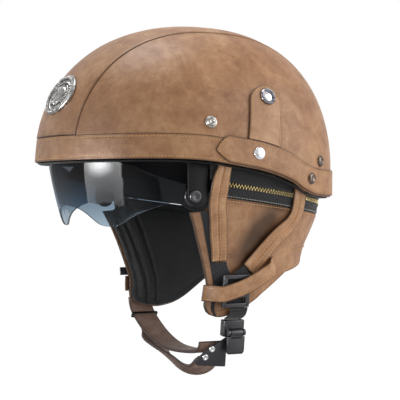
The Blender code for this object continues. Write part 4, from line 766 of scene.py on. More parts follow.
def rimPoint(angle, rise):
    y = planPoint(angle, dome["halfWidth"], dome["front"], dome["rear"])[1]
    return onShell(angle, rimHeight(y) + rise)


def seamHalf(share):
    ends = mix(dome["seamFront"], dome["seamRear"], share)
    middle = (dome["seamFront"] + dome["seamRear"]) / 2
    return ends + (dome["seamCrown"] - middle) * 4 * share * (1 - share)


def endAngle(x, end):
    y = end * (dome["front"] if end < 0 else dome["rear"])
    z = rimHeight(y) + dome["bandWidth"] + 0.0005
    for _ in range(4):
        point = shellEnd(x, z, end)
        z = rimHeight(point.y) + dome["bandWidth"] + 0.0005
    return math.atan2(z, abs(point.y))


def crownPoint(across, share):
    climb = mix(endAngle(across * seamHalf(0), -1), math.pi - endAngle(across * seamHalf(1), 1), share)
    x = across * seamHalf(share)
    sizes = grown(dome)
    low, high = 0.0, 2 * dome["front"]
    for _ in range(26):  # halves the span until the point lies on the dome
        reach = (low + high) / 2
        point = Vector((x, -reach * math.cos(climb), reach * math.sin(climb)))
        low, high = (reach, high) if eggValue(point, *sizes) < 1 else (low, reach)
    return point


panels = {
    "welt": 0.0007, "weltPlace": 0.0030, "weltWidth": 0.0015, "foldPlace": 0.0024, "foldWidth": 0.0013,
    "slack": 0.00018, "calm": 0.01, "stripReach": 0.9945, "sideReach": 1.0055,
    "strip": (0.108, 0.33), "side": (0.30, 0.13), "roll": 0.0011,
}


def makeCrown():
    long, tall = panels["side"]

    def strip(u, v):
        return crownPoint((2 * u - 1) * panels["stripReach"], v)

    def welt(u, v):
        # The turned-in seam allowance stands up beside the seam
        toSeam = min(u, 1 - u) * panels["strip"][0]
        wave = noise.noise(Vector((u * 4, v * 9, 0.3))) * panels["slack"]
        rise = panels["welt"] * bell(toSeam - panels["weltPlace"], panels["weltWidth"])
        return rise + wave * min(toSeam / panels["calm"], 1)

    def slack(u, v):
        toSeam = (1 - v) * tall
        wave = noise.noise(Vector((u * 8, v * 5, 2.7))) * panels["slack"]
        rise = 0.5 * panels["welt"] * bell(toSeam - panels["foldPlace"], panels["foldWidth"])
        return rise + wave * min(toSeam / panels["calm"], 1)

    piece = sheetPiece(
        "crownStrip", "leather", 44, 110, strip, skin, dome["leather"], panels["strip"], panels["roll"], welt
    )
    dress(piece, "helmet", "leather", "crown_strip")
    for name, side in sides.items():

        def panel(u, v, side=side):
            seam = crownPoint(panels["sideReach"], u)
            front, rear = crownPoint(1, 0), crownPoint(1, 1)
            start = planAngle(front.y / drawIn(front.z), dome["front"], dome["rear"])
            end = planAngle(rear.y / drawIn(rear.z), dome["front"], dome["rear"])
            foot = rimPoint(mix(start, end, u), dome["bandWidth"] + dome["join"])
            point = skin(foot.lerp(seam, v), 0)
            return Vector((side * point.x, point.y, point.z))

        piece = sheetPiece(
            "sidePanel" + name, "leather", 96, 56, panel, skin, dome["leather"], panels["side"],
            panels["roll"], slack,
            # The foot lies under the band, so it rolls over less
            rim=lambda u, v: min(u * long, (1 - u) * long, (1 - v) * tall, v * tall + 0.0008),
        )
        dress(piece, "helmet", "leather", "side_panel_" + name.lower())


rearTab = {
    "tipY": -0.0342, "tipZ": 0.0167, "shoulderY": -0.0185, "column": 0.07, "width": 0.0255, "rise": 0.0016,
    "length": 0.52, "rows": (0.105, 0.895), "ends": (0.0165, 0.9835),
}
bandSeam = {"dip": 0.00022, "place": 0.0024, "width": 0.0007, "rows": (0.108, 0.892), "roll": 0.0009}


def rearBase(u, v):
    tip = planAngle(rearTab["tipY"], dome["front"], dome["rear"])
    shoulder = planAngle(rearTab["shoulderY"], dome["front"], dome["rear"])
    nearEnd = min(u, 1 - u)
    opening = min(nearEnd / rearTab["column"], 1)
    if opening < 1:
        angle = mix(tip, shoulder, opening)
    else:
        angle = mix(shoulder, math.pi, (nearEnd - rearTab["column"]) / (0.5 - rearTab["column"]))
    if u > 0.5:
        angle = 2 * math.pi - angle
    foot, top = rimPoint(angle, rearTab["rise"]).z, rimPoint(angle, rearTab["width"]).z
    spread = math.sin(opening * math.pi / 2) if opening < 1 else 1
    return onShell(angle, mix(mix(rearTab["tipZ"], foot, spread), mix(rearTab["tipZ"], top, spread), v))


def makeBands():
    def band(u, v):
        return rimPoint(2 * math.pi * u, dome["bandWidth"] * v)

    def sewnDip(u, v):
        low, high = (
            bell(away * dome["bandWidth"] - bandSeam["place"], bandSeam["width"]) for away in (v, 1 - v)
        )
        return -bandSeam["dip"] * (low + high)

    piece = sheetPiece(
        "rimBand", "leather", shares(260), 22, band, skin, dome["leather"], (0.80, dome["bandWidth"]),
        bandSeam["roll"], sewnDip, ring=True,
        # The top lies under the panels' edge, so it doesn't roll over
        rim=lambda u, v: min(v, 1 - v + 0.022) * dome["bandWidth"],
    )
    dress(piece, "helmet", "leather", "rim_band")
    rows = []
    for v in bandSeam["rows"]:
        sewnRow(rows, band, skin, straightTrack((0.0, v), (0.999, v), 400))

    def overBand(point, out):
        return skin(point, touch + dome["leather"] + out)

    def tabRim(u, v):
        nearEnd = min(u, 1 - u)
        opening = math.sin(min(nearEnd / rearTab["column"], 1) * math.pi / 2)
        return min(min(v, 1 - v) * rearTab["width"] * opening, nearEnd * rearTab["length"])

    tip = [0.0, 0.0006, 0.0015, 0.003, 0.005, 0.0075, *(0.01 + 0.004 * i for i in range(15))]
    us = tip + [0.07 + 0.43 * i / 90 for i in range(91)]
    us = us + [1 - u for u in reversed(us[:-1])]
    piece = sheetPiece(
        "rearBand", "leather", us, 20, rearBase, overBand, dome["leather"], (rearTab["length"], 0.024),
        bandSeam["roll"], sewnDip, rim=tabRim,
    )
    dress(piece, "helmet", "leather", "rear_band")
    (low, high), (near, far) = rearTab["rows"], rearTab["ends"]
    track = straightTrack((0.5, high), (far, high), 160) + straightTrack((far, high), (far, low), 6)
    track += straightTrack((far, low), (near, low), 320)[1:] + straightTrack((near, low), (near, high), 6)
    track += straightTrack((near, high), (0.5, high), 160)[1:]
    sewnRow(rows, rearBase, overBand, track)
    return rows


patch = {
    "footY": 0.0150, "topY": 0.0230, "topZ": 0.0760, "half": 0.0170, "straight": 0.70, "seat": 0.0005,
    "sewnWidth": 0.87,
}


def patchHalf(top):
    return math.sqrt(max(1 - top**2, 0))


def patchBase(side):
    def base(u, v):
        top = max(v - patch["straight"], 0) / (1 - patch["straight"])
        y = mix(patch["footY"], patch["topY"], v) + (2 * u - 1) * patch["half"] * patchHalf(top)
        foot = rimHeight(y) + rearTab["width"] + patch["seat"]
        return shellSide(y, mix(foot, patch["topZ"], v), side)

    return base


def patchRim(u, v):
    top = max(v - patch["straight"], 0) / (1 - patch["straight"])
    return (1 - math.hypot((2 * u - 1) * patchHalf(top), top)) * patch["half"]


def overPanel(point, out):
    return skin(point, patch["seat"] + dome["leather"] + out)


def makePatches(rows):
    straight, keep = patch["straight"], patch["sewnWidth"]
    arch = 1 - straight
    vs = [straight * i / 28 for i in range(29)]
    vs += [straight + arch * math.sin(i / 22 * math.pi / 2) for i in range(1, 23)]
    track = straightTrack((0.5 - keep / 2, 0.0), (0.5 - keep / 2, straight), 20)
    for i in range(1, 40):
        turn = math.pi * i / 40
        top = keep * math.sin(turn)
        track.append((0.5 - 0.5 * keep * math.cos(turn) / math.sqrt(1 - top**2), straight + arch * top))
    track += straightTrack((0.5 + keep / 2, straight), (0.5 + keep / 2, 0.0), 20)
    for name, side in sides.items():
        base = patchBase(side)
        piece = sheetPiece(
            "ventPatch" + name, "paintedLitLeather", 28, vs, base, overPanel, dome["leather"],
            (2 * patch["half"], 0.055), 0.0008, rim=patchRim,
        )
        dress(piece, "helmet", "leather", "vent_patch_" + name.lower())
        sewnRow(rows, base, overPanel, track)


# Studs, as (radius, height) profiles
studs = {
    "snapStud": {
        "finish": "snap", "slot": "chrome", "y": -0.0369, "z": 0.0414, "out": touch,
        "profile": (
            (0, 0.0017), (0.0016, 0.0017), (0.0021, 0.0020), (0.0024, 0.0026), (0.0029, 0.0030),
            (0.0035, 0.0029), (0.0039, 0.0025), (0.0041, 0.0018), (0.0043, 0.0013), (0.0051, 0.0012),
            (0.0054, 0.0009), (0.0055, 0.0004), (0.0055, 0), (0, 0),
        ),
    },
    "bandRivet": {
        "finish": "chrome", "slot": "chrome", "y": 0.0085, "z": 0.0143, "out": 0.0020,
        "profile": (
            (0, 0.0018), (0.0016, 0.00178), (0.0030, 0.00168), (0.0042, 0.00145), (0.0050, 0.00112),
            (0.0055, 0.0007), (0.00575, 0.0003), (0.0058, 0), (0, 0),
        ),
    },
    "rearRivetUpper": {"finish": "nickel", "slot": "nickel", "y": 0.0866, "z": 0.0093, "out": touch},
    "rearRivetLower": {"finish": "nickel", "slot": "nickel", "y": 0.0701, "z": -0.0073, "out": 0.0020},
    "ventEyelet": {
        "finish": "smokedChrome", "slot": "chrome", "y": 0.0230, "z": 0.0655, "out": 0.0022,
        "profile": (
            (0.0049, 0), (0.0049, 0.0003), (0.0053, 0.0003), (0.0055, 0.0009), (0.0058, 0.0018),
            (0.0062, 0.0023), (0.0067, 0.0024), (0.0072, 0.0021), (0.0077, 0.0014), (0.0080, 0.0005),
            (0.0080, 0), (0.0049, 0),
        ),
    },
    "eyeletDisc": {
        "finish": "chrome", "slot": "chrome", "y": 0.0230, "z": 0.0655, "out": 0.0022,
        "profile": (
            (0, 0.0015), (0.0015, 0.00147), (0.0030, 0.0013), (0.0041, 0.0010), (0.0046, 0.0006),
            (0.0048, 0.0002), (0.0048, 0), (0, 0),
        ),
    },
}
rearRivetProfile = (
    (0, 0.0014), (0.0022, 0.0014), (0.0027, 0.0016), (0.0032, 0.0020), (0.0040, 0.0019), (0.0047, 0.0014),
    (0.0052, 0.0007), (0.0053, 0.0002), (0.0053, 0), (0, 0),
)
studNodes = {
    "snapStud": "snap_stud", "bandRivet": "band_rivet", "rearRivetUpper": "rear_rivet_upper",
    "rearRivetLower": "rear_rivet_lower", "ventEyelet": "vent_eyelet",
}


def setFittings(name, profile, points, outs, finish, steps=48):
    fitting = linkPiece(name + "Form", turnedMesh(name + "Form", profile, steps), None)
    piece = bakeNodes(name, rowsMesh(name, [([p], [o]) for p, o in zip(points, outs)]), studSetter, {
        "Fitting": fitting, "Metal": finishes[finish],
    })
    bpy.data.objects.remove(fitting)
    return piece


def makeStuds():
    for name, stud in studs.items():
        points, outs = [], []
        for side in sides.values():
            foot = shellSide(stud["y"], stud["z"], side)
            outs.append(shellNormal(foot))
            points.append(foot + outs[-1] * stud["out"])
        piece = setFittings(name, stud.get("profile", rearRivetProfile), points, outs, stud["finish"])
        nodes = [f"{studNodes[name]}_{side.lower()}" for side in sides] if name in studNodes else []
        dress(piece, "helmet", stud["slot"], *nodes)


badge = {
    "z": 0.0690, "halfWidth": 0.0275, "halfHeight": 0.0180, "steps": 96, "ribs": 44, "beadRadius": 0.00075,
    "rimFrom": 0.78, "bossTo": 0.34, "field": 0.0009, "ribEnds": (0.42, 0.70), "ribLength": 0.0062,
    "ribRadius": 0.00062, "beadReach": 0.89, "beadPitch": 0.0022,
}


def badgePoint(turn, reach, out):
    x = badge["halfWidth"] * reach * math.cos(turn)
    return skin(shellEnd(x, badge["z"] + badge["halfHeight"] * reach * math.sin(turn), -1), touch + out)


def badgeHeight(reach):
    if reach > badge["rimFrom"]:
        over = (reach - badge["rimFrom"]) / (1 - badge["rimFrom"])
        return 0.0016 + 0.0012 * math.sin(over * math.pi) ** 0.6
    if reach < badge["bossTo"]:
        return 0.0012 + 0.0016 * math.cos(reach / badge["bossTo"] * math.pi / 2)
    return badge["field"]


def makeBadge():
    # A medallion: a raised rim with beads, a blackened field with ribs, and a domed boss
    reaches = (
        1.0, 0.995, 0.98, 0.96, 0.93, 0.90, 0.86, 0.82, 0.80, 0.785, 0.775, 0.74, 0.66, 0.56, 0.46, 0.37,
        0.35, 0.335, 0.31, 0.27, 0.22, 0.16, 0.10, 0.05, 0.0,
    )
    steps, verts, faces, tones = badge["steps"], [], [], []
    turns = [2 * math.pi * step / steps for step in range(steps)]
    for layer in (0, 1):
        for reach in reaches:
            out = 0.0 if layer else badgeHeight(reach)
            verts += [tuple(badgePoint(turn, reach, out)) for turn in turns]
    half = len(reaches) * steps
    for ring in range(len(reaches) - 1):
        dark = badge["bossTo"] < (reaches[ring] + reaches[ring + 1]) / 2 < 0.785
        for step in range(steps):
            a, b = ring * steps + step, ring * steps + (step + 1) % steps
            faces.append((a, b, b + steps, a + steps))
            faces.append((half + a, half + a + steps, half + b + steps, half + b))
            tones += [1 if dark else 0, 0]
    for step in range(steps):
        after = (step + 1) % steps
        faces.append((after, step, half + step, half + after))
        tones.append(0)
    mesh = bpy.data.meshes.new("browBadge")
    mesh.from_pydata(verts, [], faces)
    for face, tone in zip(mesh.polygons, tones):
        face.material_index = tone
    mesh.materials.append(finishes["pewterLight"])
    mesh.materials.append(finishes["pewterDark"])
    tidyMesh(mesh)
    softEdges(mesh, 40)
    dress(linkPiece("browBadge", mesh, None), "helmet", "pewter", "front_badge")

    def offBadge(turn, reach):
        return (badgePoint(turn, reach, 0.002) - badgePoint(turn, reach, 0.0)).normalized()

    ribs = []
    for step in range(badge["ribs"]):
        turn = 2 * math.pi * step / badge["ribs"]
        ends = [badgePoint(turn, reach, 0.0011) for reach in badge["ribEnds"]]
        ribs.append((ends, [offBadge(turn, 0.56)] * 2))
    # A rib is a row of long beads that run into one another
    rowLength = 0.28 * (badge["halfWidth"] + badge["halfHeight"]) / 2
    beadTurns = [2 * math.pi * i / 200 for i in range(201)]
    rim = [badgePoint(turn, badge["beadReach"], 0.0026) for turn in beadTurns]
    outs = [offBadge(turn, badge["beadReach"]) for turn in beadTurns]
    for name, rows, pitch, length, radius in (
        ("badgeRibs", ribs, rowLength * 0.52, badge["ribLength"] * 0.62, badge["ribRadius"]),
        ("badgeBeads", [(rim, outs)], badge["beadPitch"], 2 * badge["beadRadius"], badge["beadRadius"]),
    ):
        piece = bakeNodes(name, rowsMesh(name, rows), sewn, {
            "Pitch": pitch, "Length": length, "Radius": radius, "Thread": finishes["pewterLight"],
        })
        dress(piece, "helmet", "pewter")


makeCrown()
bandRows = makeBands()
makePatches(bandRows)
sewPiece("shellStitches", bandRows, "helmet")
studSetter = studTree()
makeStuds()
makeBadge()
print("stage: dome")

# Visor

visor = {
    "pivotY": -0.0470, "pivotZ": -0.0240, "half": 0.1036, "front": 0.1362, "thick": 0.0020, "topZ": 0.0105,
    "armDrop": 0.0255, "drop": 0.0508, "lean": 0.0130, "leanPower": 1.3,
    "leanShares": ((0.0, 1.0), (0.45, 1.0), (0.60, 0.72), (0.75, 0.26), (0.86, 0.0), (1.0, 0.0)),
    "top": ((0.0, 0.0), (0.35, 0.0), (0.60, 0.20), (0.80, 0.66), (1.0, 1.0)),
    "low": (
        (0.0, 0.63), (0.152, 0.695), (0.226, 0.778), (0.281, 0.872), (0.330, 0.955), (0.392, 1.0),
        (0.477, 1.0), (0.539, 0.955), (0.606, 0.866), (0.667, 0.791), (0.756, 0.695), (0.885, 0.590),
        (1.0, 0.635),
    ),
}


# Where the visor turns: profiles as (radius, height) on the axis, and the bracket's outline in y and z
pivot = {
    "visorHubs": (
        (0.0026, -0.0013), (0.0080, -0.0013), (0.0086, -0.0010), (0.0088, -0.0004), (0.0088, 0.0006),
        (0.0085, 0.0011), (0.0078, 0.0013), (0.0064, 0.0013), (0.0060, 0.0010), (0.0052, 0.0010),
        (0.0047, 0.0013), (0.0026, 0.0013), (0.0026, -0.0013),
    ),
    "visorScrews": (
        (0, 0.0062), (0.0012, 0.0062), (0.0018, 0.0064), (0.0024, 0.0071), (0.0042, 0.0074), (0.0052, 0.0070),
        (0.0057, 0.0063), (0.0058, 0.0055), (0.0056, 0.0052), (0.0022, 0.0052), (0.0022, 0.0002), (0, 0.0002),
    ),
    "hubHalf": 0.0013, "gap": 0.0004, "stem": (-0.0540, -0.0340), "stemTop": 0.0280, "middleZ": -0.0237,
}


def visorEdge(share, inset):
    angle = share * planAngle(visor["pivotY"], visor["front"], dome["rear"])
    return planPoint(angle, visor["half"] - inset, visor["front"] - inset, dome["rear"])


def visorLean(share, z):
    # How far the sheet has drawn in at height z
    down = min(max((visor["topZ"] - z) / (visor["topZ"] + visor["drop"]), 0), 1)
    return visor["lean"] * follow(visor["leanShares"], abs(share)) * down ** visor["leanPower"]


def makeVisor():
    def base(u, v):
        side = 2 * u - 1
        top = visor["topZ"] - visor["armDrop"] * follow(visor["top"], abs(side))
        return side, mix(-visor["drop"] * follow(visor["low"], abs(side)), top, v)

    def lift(place, out):
        x, y = visorEdge(place[0], visorLean(*place) - out)
        return Vector((x, y, place[1]))

    piece = sheetPiece("visorLens", "lens", 180, 16, base, lift, visor["thick"], (0.42, 0.05), 0.0005)
    dress(piece, "visor", "lens", "visor_lens")
    hubX = visorEdge(1, 0)[0] - visor["thick"] / 2
    for name, offset, nodes in (
        ("visorHubs", 0.0, ()), ("visorScrews", -pivot["hubHalf"], ("visor_screw_left", "visor_screw_right")),
    ):
        outs = [Vector((side, 0, 0)) for side in sides.values()]
        points = [Vector((out.x * (hubX + offset), visor["pivotY"], visor["pivotZ"])) for out in outs]
        dress(setFittings(name, pivot[name], points, outs, "glossPlastic"), "visor", "plastic", *nodes)
    inner = hubX + pivot["hubHalf"] + pivot["gap"]
    # A stem that widens into the round housing of the pivot
    (front, rear), top, middleZ = pivot["stem"], pivot["stemTop"], pivot["middleZ"]
    middle, radius = (front + rear) / 2, (rear - front) / 2
    outline = [(front, top), (front, middleZ)]
    outline += [
        (middle - radius * math.cos(math.pi * i / 16), middleZ - radius * math.sin(math.pi * i / 16))
        for i in range(1, 16)
    ]
    outline += [(rear, middleZ), (rear, top)]
    meshes = []
    for side in sides.values():
        place = Matrix(((0, 0, side, side * inner), (1, 0, 0, 0), (0, 1, 0, 0), (0, 0, 0, 1)))
        meshes.append(blockMesh("bracket", outline, 0.0, 0.0022, 0.0005, place))
        meshes.append(blockMesh("boss", circle(0.005, 24, middle, 0.018), 0.0020, 0.0060, 0.0003, place))
    dress(
        linkPiece("visorBrackets", joinMeshes("visorBrackets", meshes), "plastic"), "helmet", "plastic",
        "visor_bracket_left", "visor_bracket_right",
    )


makeVisor()
print("stage: visor")

# Neck curtain

curtain = {
    "depth": 0.1350, "front": 0.1400, "flapRear": 0.0640,
    "width": (
        (-0.10, 0.908), (0.0, 0.902), (0.11, 0.892), (0.185, 0.868), (0.326, 0.818), (0.444, 0.772),
        (0.667, 0.725), (0.874, 0.691), (1.0, 0.668), (1.1, 0.655),
    ),
    "rear": (
        (-0.10, 0.935), (0.11, 0.930), (0.25, 0.928), (0.33, 0.915), (0.415, 0.882), (0.541, 0.826),
        (0.63, 0.800), (1.0, 0.770), (1.1, 0.765),
    ),
}
track = {
    "z": -0.0152, "fall": 0.0170, "startY": -0.0220, "halfRow": 0.0019, "drop": 0.0112, "tape": 0.0012,
    "tapeHigh": 0.0093, "folds": (0.0006, 0.0004), "foldWidth": 0.0009,
}
teeth = {"pitch": 0.00160, "size": (0.00085, 0.0023, 0.0018), "step": 0.00100, "sink": 0.0006}


def curtainSize(z):
    depth = -z / curtain["depth"]
    return dome["halfWidth"] * follow(curtain["width"], depth), dome["rear"] * follow(curtain["rear"], depth)


def curtainSide(y, z, out, side):
    half, rear = curtainSize(z)
    share = abs(y) / ((curtain["front"] if y < 0 else rear) + out)
    return Vector((side * (half + out) * (1 - share ** dome["planPower"]) ** (1 / dome["planPower"]), y, z))


def curtainRing(angle, z, out):
    half, rear = curtainSize(z)
    x, y = planPoint(angle, half + out, curtain["front"] + out, rear + out)
    return Vector((x, y, z))


def trackHeight(y):
    return track["z"] - track["fall"] * y / dome["rear"]


def tapeLow(y):
    return trackHeight(y) - track["drop"]


def ringAngle(startY, u):
    start = planAngle(startY, curtain["front"], dome["rear"])
    return mix(start, 2 * math.pi - start, u)


def makeZipper():
    def ringLift(place, out):
        return curtainRing(place[0], place[1], out)

    def upper(u, v):
        angle = ringAngle(-0.0330, u)
        y = curtainRing(angle, track["z"], 0).y
        low, shoulder = trackHeight(y) + track["halfRow"] + touch, rimHeight(y) + 0.0085
        return angle, mix(low, shoulder, min(v / 0.75, 1)), max(v - 0.75, 0) / 0.25

    def upperLift(place, out):
        angle, z, rise = place
        inner = curtainRing(angle, z, out)
        if rise <= 0:
            return inner
        return inner.lerp(skin(rimPoint(angle, 0.0150), -0.0080 + out), rise)

    def piping(u, v):
        # A folded edge beside the teeth
        return track["folds"][0] * bell(v * 0.02 - 0.0012, track["foldWidth"])

    piece = sheetPiece(
        "curtainBand", "tape", 190, 14, upper, upperLift, track["tape"], (0.52, 0.03), 0.0005, piping
    )
    dress(piece, "helmet", "fabric", "curtain_band")

    def lower(u, v):
        angle = ringAngle(track["startY"], u)
        y = curtainRing(angle, track["z"], 0).y
        return angle, trackHeight(y) + mix(-track["drop"], -track["halfRow"] - touch, v)

    def fold(u, v):
        high, low = (track["folds"][i] * bell(place * track["tapeHigh"] - away, track["foldWidth"])
                     for i, place, away in ((0, 1 - v, 0.0012), (1, v, 0.0016)))
        return high + low

    piece = sheetPiece(
        "zipperLowerTape", "tape", 190, 10, lower, ringLift, track["tape"], (0.50, track["tapeHigh"]), 0.0005,
        fold,
    )
    dress(piece, "helmet", "fabric", "zipper_lower_tape")
    points, outs = [], []
    for i in range(301):
        angle = ringAngle(track["startY"], i / 300)
        z = trackHeight(curtainRing(angle, track["z"], 0).y)
        points.append(curtainRing(angle, z, -teeth["sink"]))
        outs.append((curtainRing(angle, z, 0.001) - curtainRing(angle, z, 0)).normalized())
    piece = bakeNodes("zipperTeeth", rowsMesh("zipperTeeth", [(points, outs)]), teethTree(), {
        "Pitch": teeth["pitch"], "Tooth Size": teeth["size"], "Step": teeth["step"],
        "Metal": finishes["brass"],
    })
    dress(piece, "helmet", "brass", "zipper_teeth")
    rows = []
    sewnRow(rows, lower, ringLift, straightTrack((0.0, 0.10), (1.0, 0.10), 300))
    return rows


flapFront = (
    (0.0, -0.363, 0.283), (0.20, -0.311, 0.400), (0.50, -0.236, 0.610), (0.75, -0.187, 0.790),
    (0.92, -0.190, 0.915), (1.0, -0.160, 0.970),
)
flapTopDrop = ((-0.363, 0.283), (-0.270, 0.272), (-0.235, 0.238), (-0.205, 0.200), (-0.150, 0.186))
flapLow = {
    "Left": (
        (-0.160, 0.970), (-0.085, 0.992), (0.0, 0.981), (0.105, 0.938), (0.205, 0.880), (0.260, 0.840),
        (0.370, 0.768), (0.474, 0.703),
    ),
    "Right": (
        (-0.160, 0.970), (-0.075, 0.992), (0.03, 1.0), (0.105, 0.990), (0.185, 0.966), (0.275, 0.915),
        (0.415, 0.800), (0.474, 0.735),
    ),
}
flap = {
    "bindWidth": 0.0085, "bindRise": 0.0021, "darkWidth": 0.0075, "darkRise": 0.0018, "liningGap": 0.0008,
    "inset": 0.0012, "wave": 0.0011, "crease": 0.0003, "foldDepth": 0.0042,
}


def flapTop(y):
    share = y / curtain["depth"]
    if share < flapTopDrop[-1][0]:
        return -curtain["depth"] * follow(flapTopDrop, share)
    return tapeLow(y) - 2 * touch


def flapPlace(u, v, name):
    depth, rear = curtain["depth"], curtain["flapRear"] - 0.00003
    frontY, frontZ = (depth * value for value in follow(flapFront, v))
    headY, footY = depth * flapFront[0][1], depth * flapFront[-1][1]
    topY, lowY = mix(headY, rear, u), mix(footY, rear, u)
    lowZ = -depth * follow(flapLow[name], lowY / depth)
    rearTop, rearLow = flapTop(rear), -depth * follow(flapLow[name], rear / depth)
    head, foot = Vector((headY, flapTop(headY))), Vector((footY, -depth * flapFront[-1][2]))
    across = Vector((frontY, -frontZ)).lerp(Vector((rear, mix(rearTop, rearLow, v))), u)
    down = Vector((topY, flapTop(topY))).lerp(Vector((lowY, lowZ)), v)
    corners = head.lerp(Vector((rear, rearTop)), u).lerp(foot.lerp(Vector((rear, rearLow)), u), v)
    return across + down - corners


def flapWave(u, v):
    # Soft folds that run down and forward, where the straps pull the leather
    fold = noise.noise(Vector((u * 3.1 + v * 1.2, v * 2.2, 4.0)))
    crease = noise.noise(Vector((u * 7 + v * 4, v * 5, 9.0)))
    inside = min(min(u, 1 - u) * 6, min(v, 1 - v) * 6, 1)
    return (flap["wave"] * fold + flap["crease"] * crease - flap["foldDepth"] * flapFold(u, v)) * inside


def flapFold(u, v):
    # The hollow below and in front of the rear strap: the leather dips there, and the same mask paints shade
    # there
    along = u - 0.82 + 0.60 * v
    return min(1.35 * bell(along, 0.17) * bell(v - 0.36, 0.40), 1)


def flapShadeAndGrime(u, v):
    # Painted shade in the hollow by the rear strap, darker along the top edge, and random grime
    grime = 0.10 * noise.noise(Vector((u * 9, v * 9, 1.0)))
    return min(max(0.95 * flapFold(u, v) + 0.5 * bell(v, 0.05) + grime, 0), 1)


def flapRim(u, v):
    # The rear edge is sewn flat to the neck panel, so only the other three roll over
    return min(u * 0.11, v * 0.09, (1 - v) * 0.09)


def flapEdge(v, name):
    # A place on the front edge, the way in from it, and how wide its binding is there
    place = flapPlace(0.0, v, name)
    return place, (flapPlace(0.02, v, name) - place).normalized(), flap["bindWidth"] * mix(1.1, 0.62, v)


def makeFlaps(rows):
    for name, side in sides.items():

        def base(u, v, name=name):
            return flapPlace(u, v, name)

        def lift(place, out, side=side):
            return curtainSide(place[0], place[1], out, side)

        piece = sheetPiece(
            "earFlap" + name, "leather", shares(84, 0.11, 0.0008), shares(72, 0.09, 0.0008), base, lift,
            dome["leather"], (0.11, 0.09), 0.0007, flapWave, rim=flapRim, shadeAndGrime=flapShadeAndGrime,
        )
        dress(piece, "helmet", "leather", "ear_flap_" + name.lower())

        # The turned leather edge along the front, and behind it a strip of black knit: partly black lining,
        # partly painted shade in the gap before the strap
        def bind(u, v, name=name):
            place, back, width = flapEdge(v, name)
            return place + back * (u * width)

        def bindLift(place, out, side=side):
            return curtainSide(place[0], place[1], flap["bindRise"] + out, side)

        dress(sheetPiece(
            "flapBinding" + name, "binding", 10, 60, bind, bindLift, 0.0015, (0.008, 0.11), 0.0008
        ), "helmet", "leather")

        def darkStrip(u, v, name=name):
            place, back, width = flapEdge(v, name)
            return place + back * (width - 0.0002 + u * flap["darkWidth"] * mix(1.15, 0.45, v))

        def darkStripLift(place, out, side=side):
            return curtainSide(place[0], place[1], flap["darkRise"] + out, side)

        dress(sheetPiece(
            "flapGusset" + name, "knit", 6, 48, darkStrip, darkStripLift, 0.0008, (0.007, 0.10), 0.0003
        ), "helmet", "fabric")
        for start, end, count in (
            ((0.30, 0.028), (1.0, 0.028), 60), ((0.10, 0.955), (0.45, 0.955), 30),
            ((0.76, 0.67), (1.0, 0.67), 24),
        ):
            sewnRow(rows, base, lift, straightTrack(start, end, count))


def neckRing(u, z, out, inset):
    rear = curtainSize(z)[1] + out
    start = planAngle(curtain["flapRear"] + 0.00003 + inset, curtain["front"], rear)
    return curtainRing(mix(start, 2 * math.pi - start, u), z, out)


def neckPlace(u, v, inset):
    middleY = curtainRing(mix(math.pi / 2, math.pi * 1.5, u), track["z"], 0).y
    guess = tapeLow(max(middleY, curtain["flapRear"] + touch + inset)) - 2 * touch - inset
    top = tapeLow(neckRing(u, guess, 0, inset).y) - 2 * touch
    sideLow = mix(flapLow["Left"][-1][1], flapLow["Right"][-1][1], u)
    low = -curtain["depth"] * mix(sideLow, 0.626, math.sin(math.pi * u))
    return u, mix(top - inset, low + inset, v), inset


pad = {
    "edge": 0.0022, "crown": 0.0048, "neckCrown": 0.0030, "neckChannel": 0.0016, "swellTo": 0.22,
    "pressure": 4.0, "cap": 0.0014, "channels": (0.15, 0.27), "channelWidth": 0.020, "channelDepth": 0.0020,
}


def padSwell(u, v):
    return math.sin(min(min(u, 1 - u, v, 1 - v) / pad["swellTo"], 1) * math.pi / 2)


def makeNeck(rows):
    def base(u, v):
        return neckPlace(u, v, 0.0)

    def lift(place, out):
        return neckRing(place[0], place[1], out, place[2])

    def wave(u, v):
        inside = min(min(u, 1 - u) * 8, min(v, 1 - v) * 6, 1)
        return 0.0007 * noise.noise(Vector((u * 8, v * 2.4, 7.0))) * inside

    piece = sheetPiece(
        "neckPanel", "leather", shares(120, 0.26, 0.0008), shares(36, 0.052, 0.0008), base, lift,
        dome["leather"], (0.26, 0.052), 0.0007, wave,
        # Its ends are sewn flat to the flaps
        rim=lambda u, v: min(v, 1 - v) * 0.052,
    )
    dress(piece, "helmet", "leather", "neck_panel")
    for v in (0.045, 0.66, 0.94):
        sewnRow(rows, base, lift, straightTrack((0.01, v), (0.99, v), 160))

    def lining(u, v):
        return neckPlace(u, v, flap["inset"])

    def liningLift(place, out):
        return neckRing(place[0], place[1], -dome["leather"] - flap["liningGap"] + out, place[2])

    # Turned over: the padded face looks inwards, so relief goes on the inner layer through the lift
    def quilt(u, v):
        swell = padSwell(u, v)
        channels = sum(bell(u - place, 0.012) for place in (0.2, 0.4, 0.6, 0.8))
        return pad["edge"] + pad["neckCrown"] * swell - pad["neckChannel"] * channels * swell

    def padBase(u, v):
        return (*lining(u, v), quilt(u, v))

    def padLift(place, out):
        return liningLift(place[:3], 0.0 if out > -0.0005 else -place[3])

    piece = sheetPiece(
        "neckLining", "knit", shares(110, 0.25, 0.0005), shares(30, 0.05, 0.0005), padBase, padLift, 0.003,
        (0.25, 0.05), 0.0004,
    )
    dress(piece, "helmet", "fabric", "neck_lining")


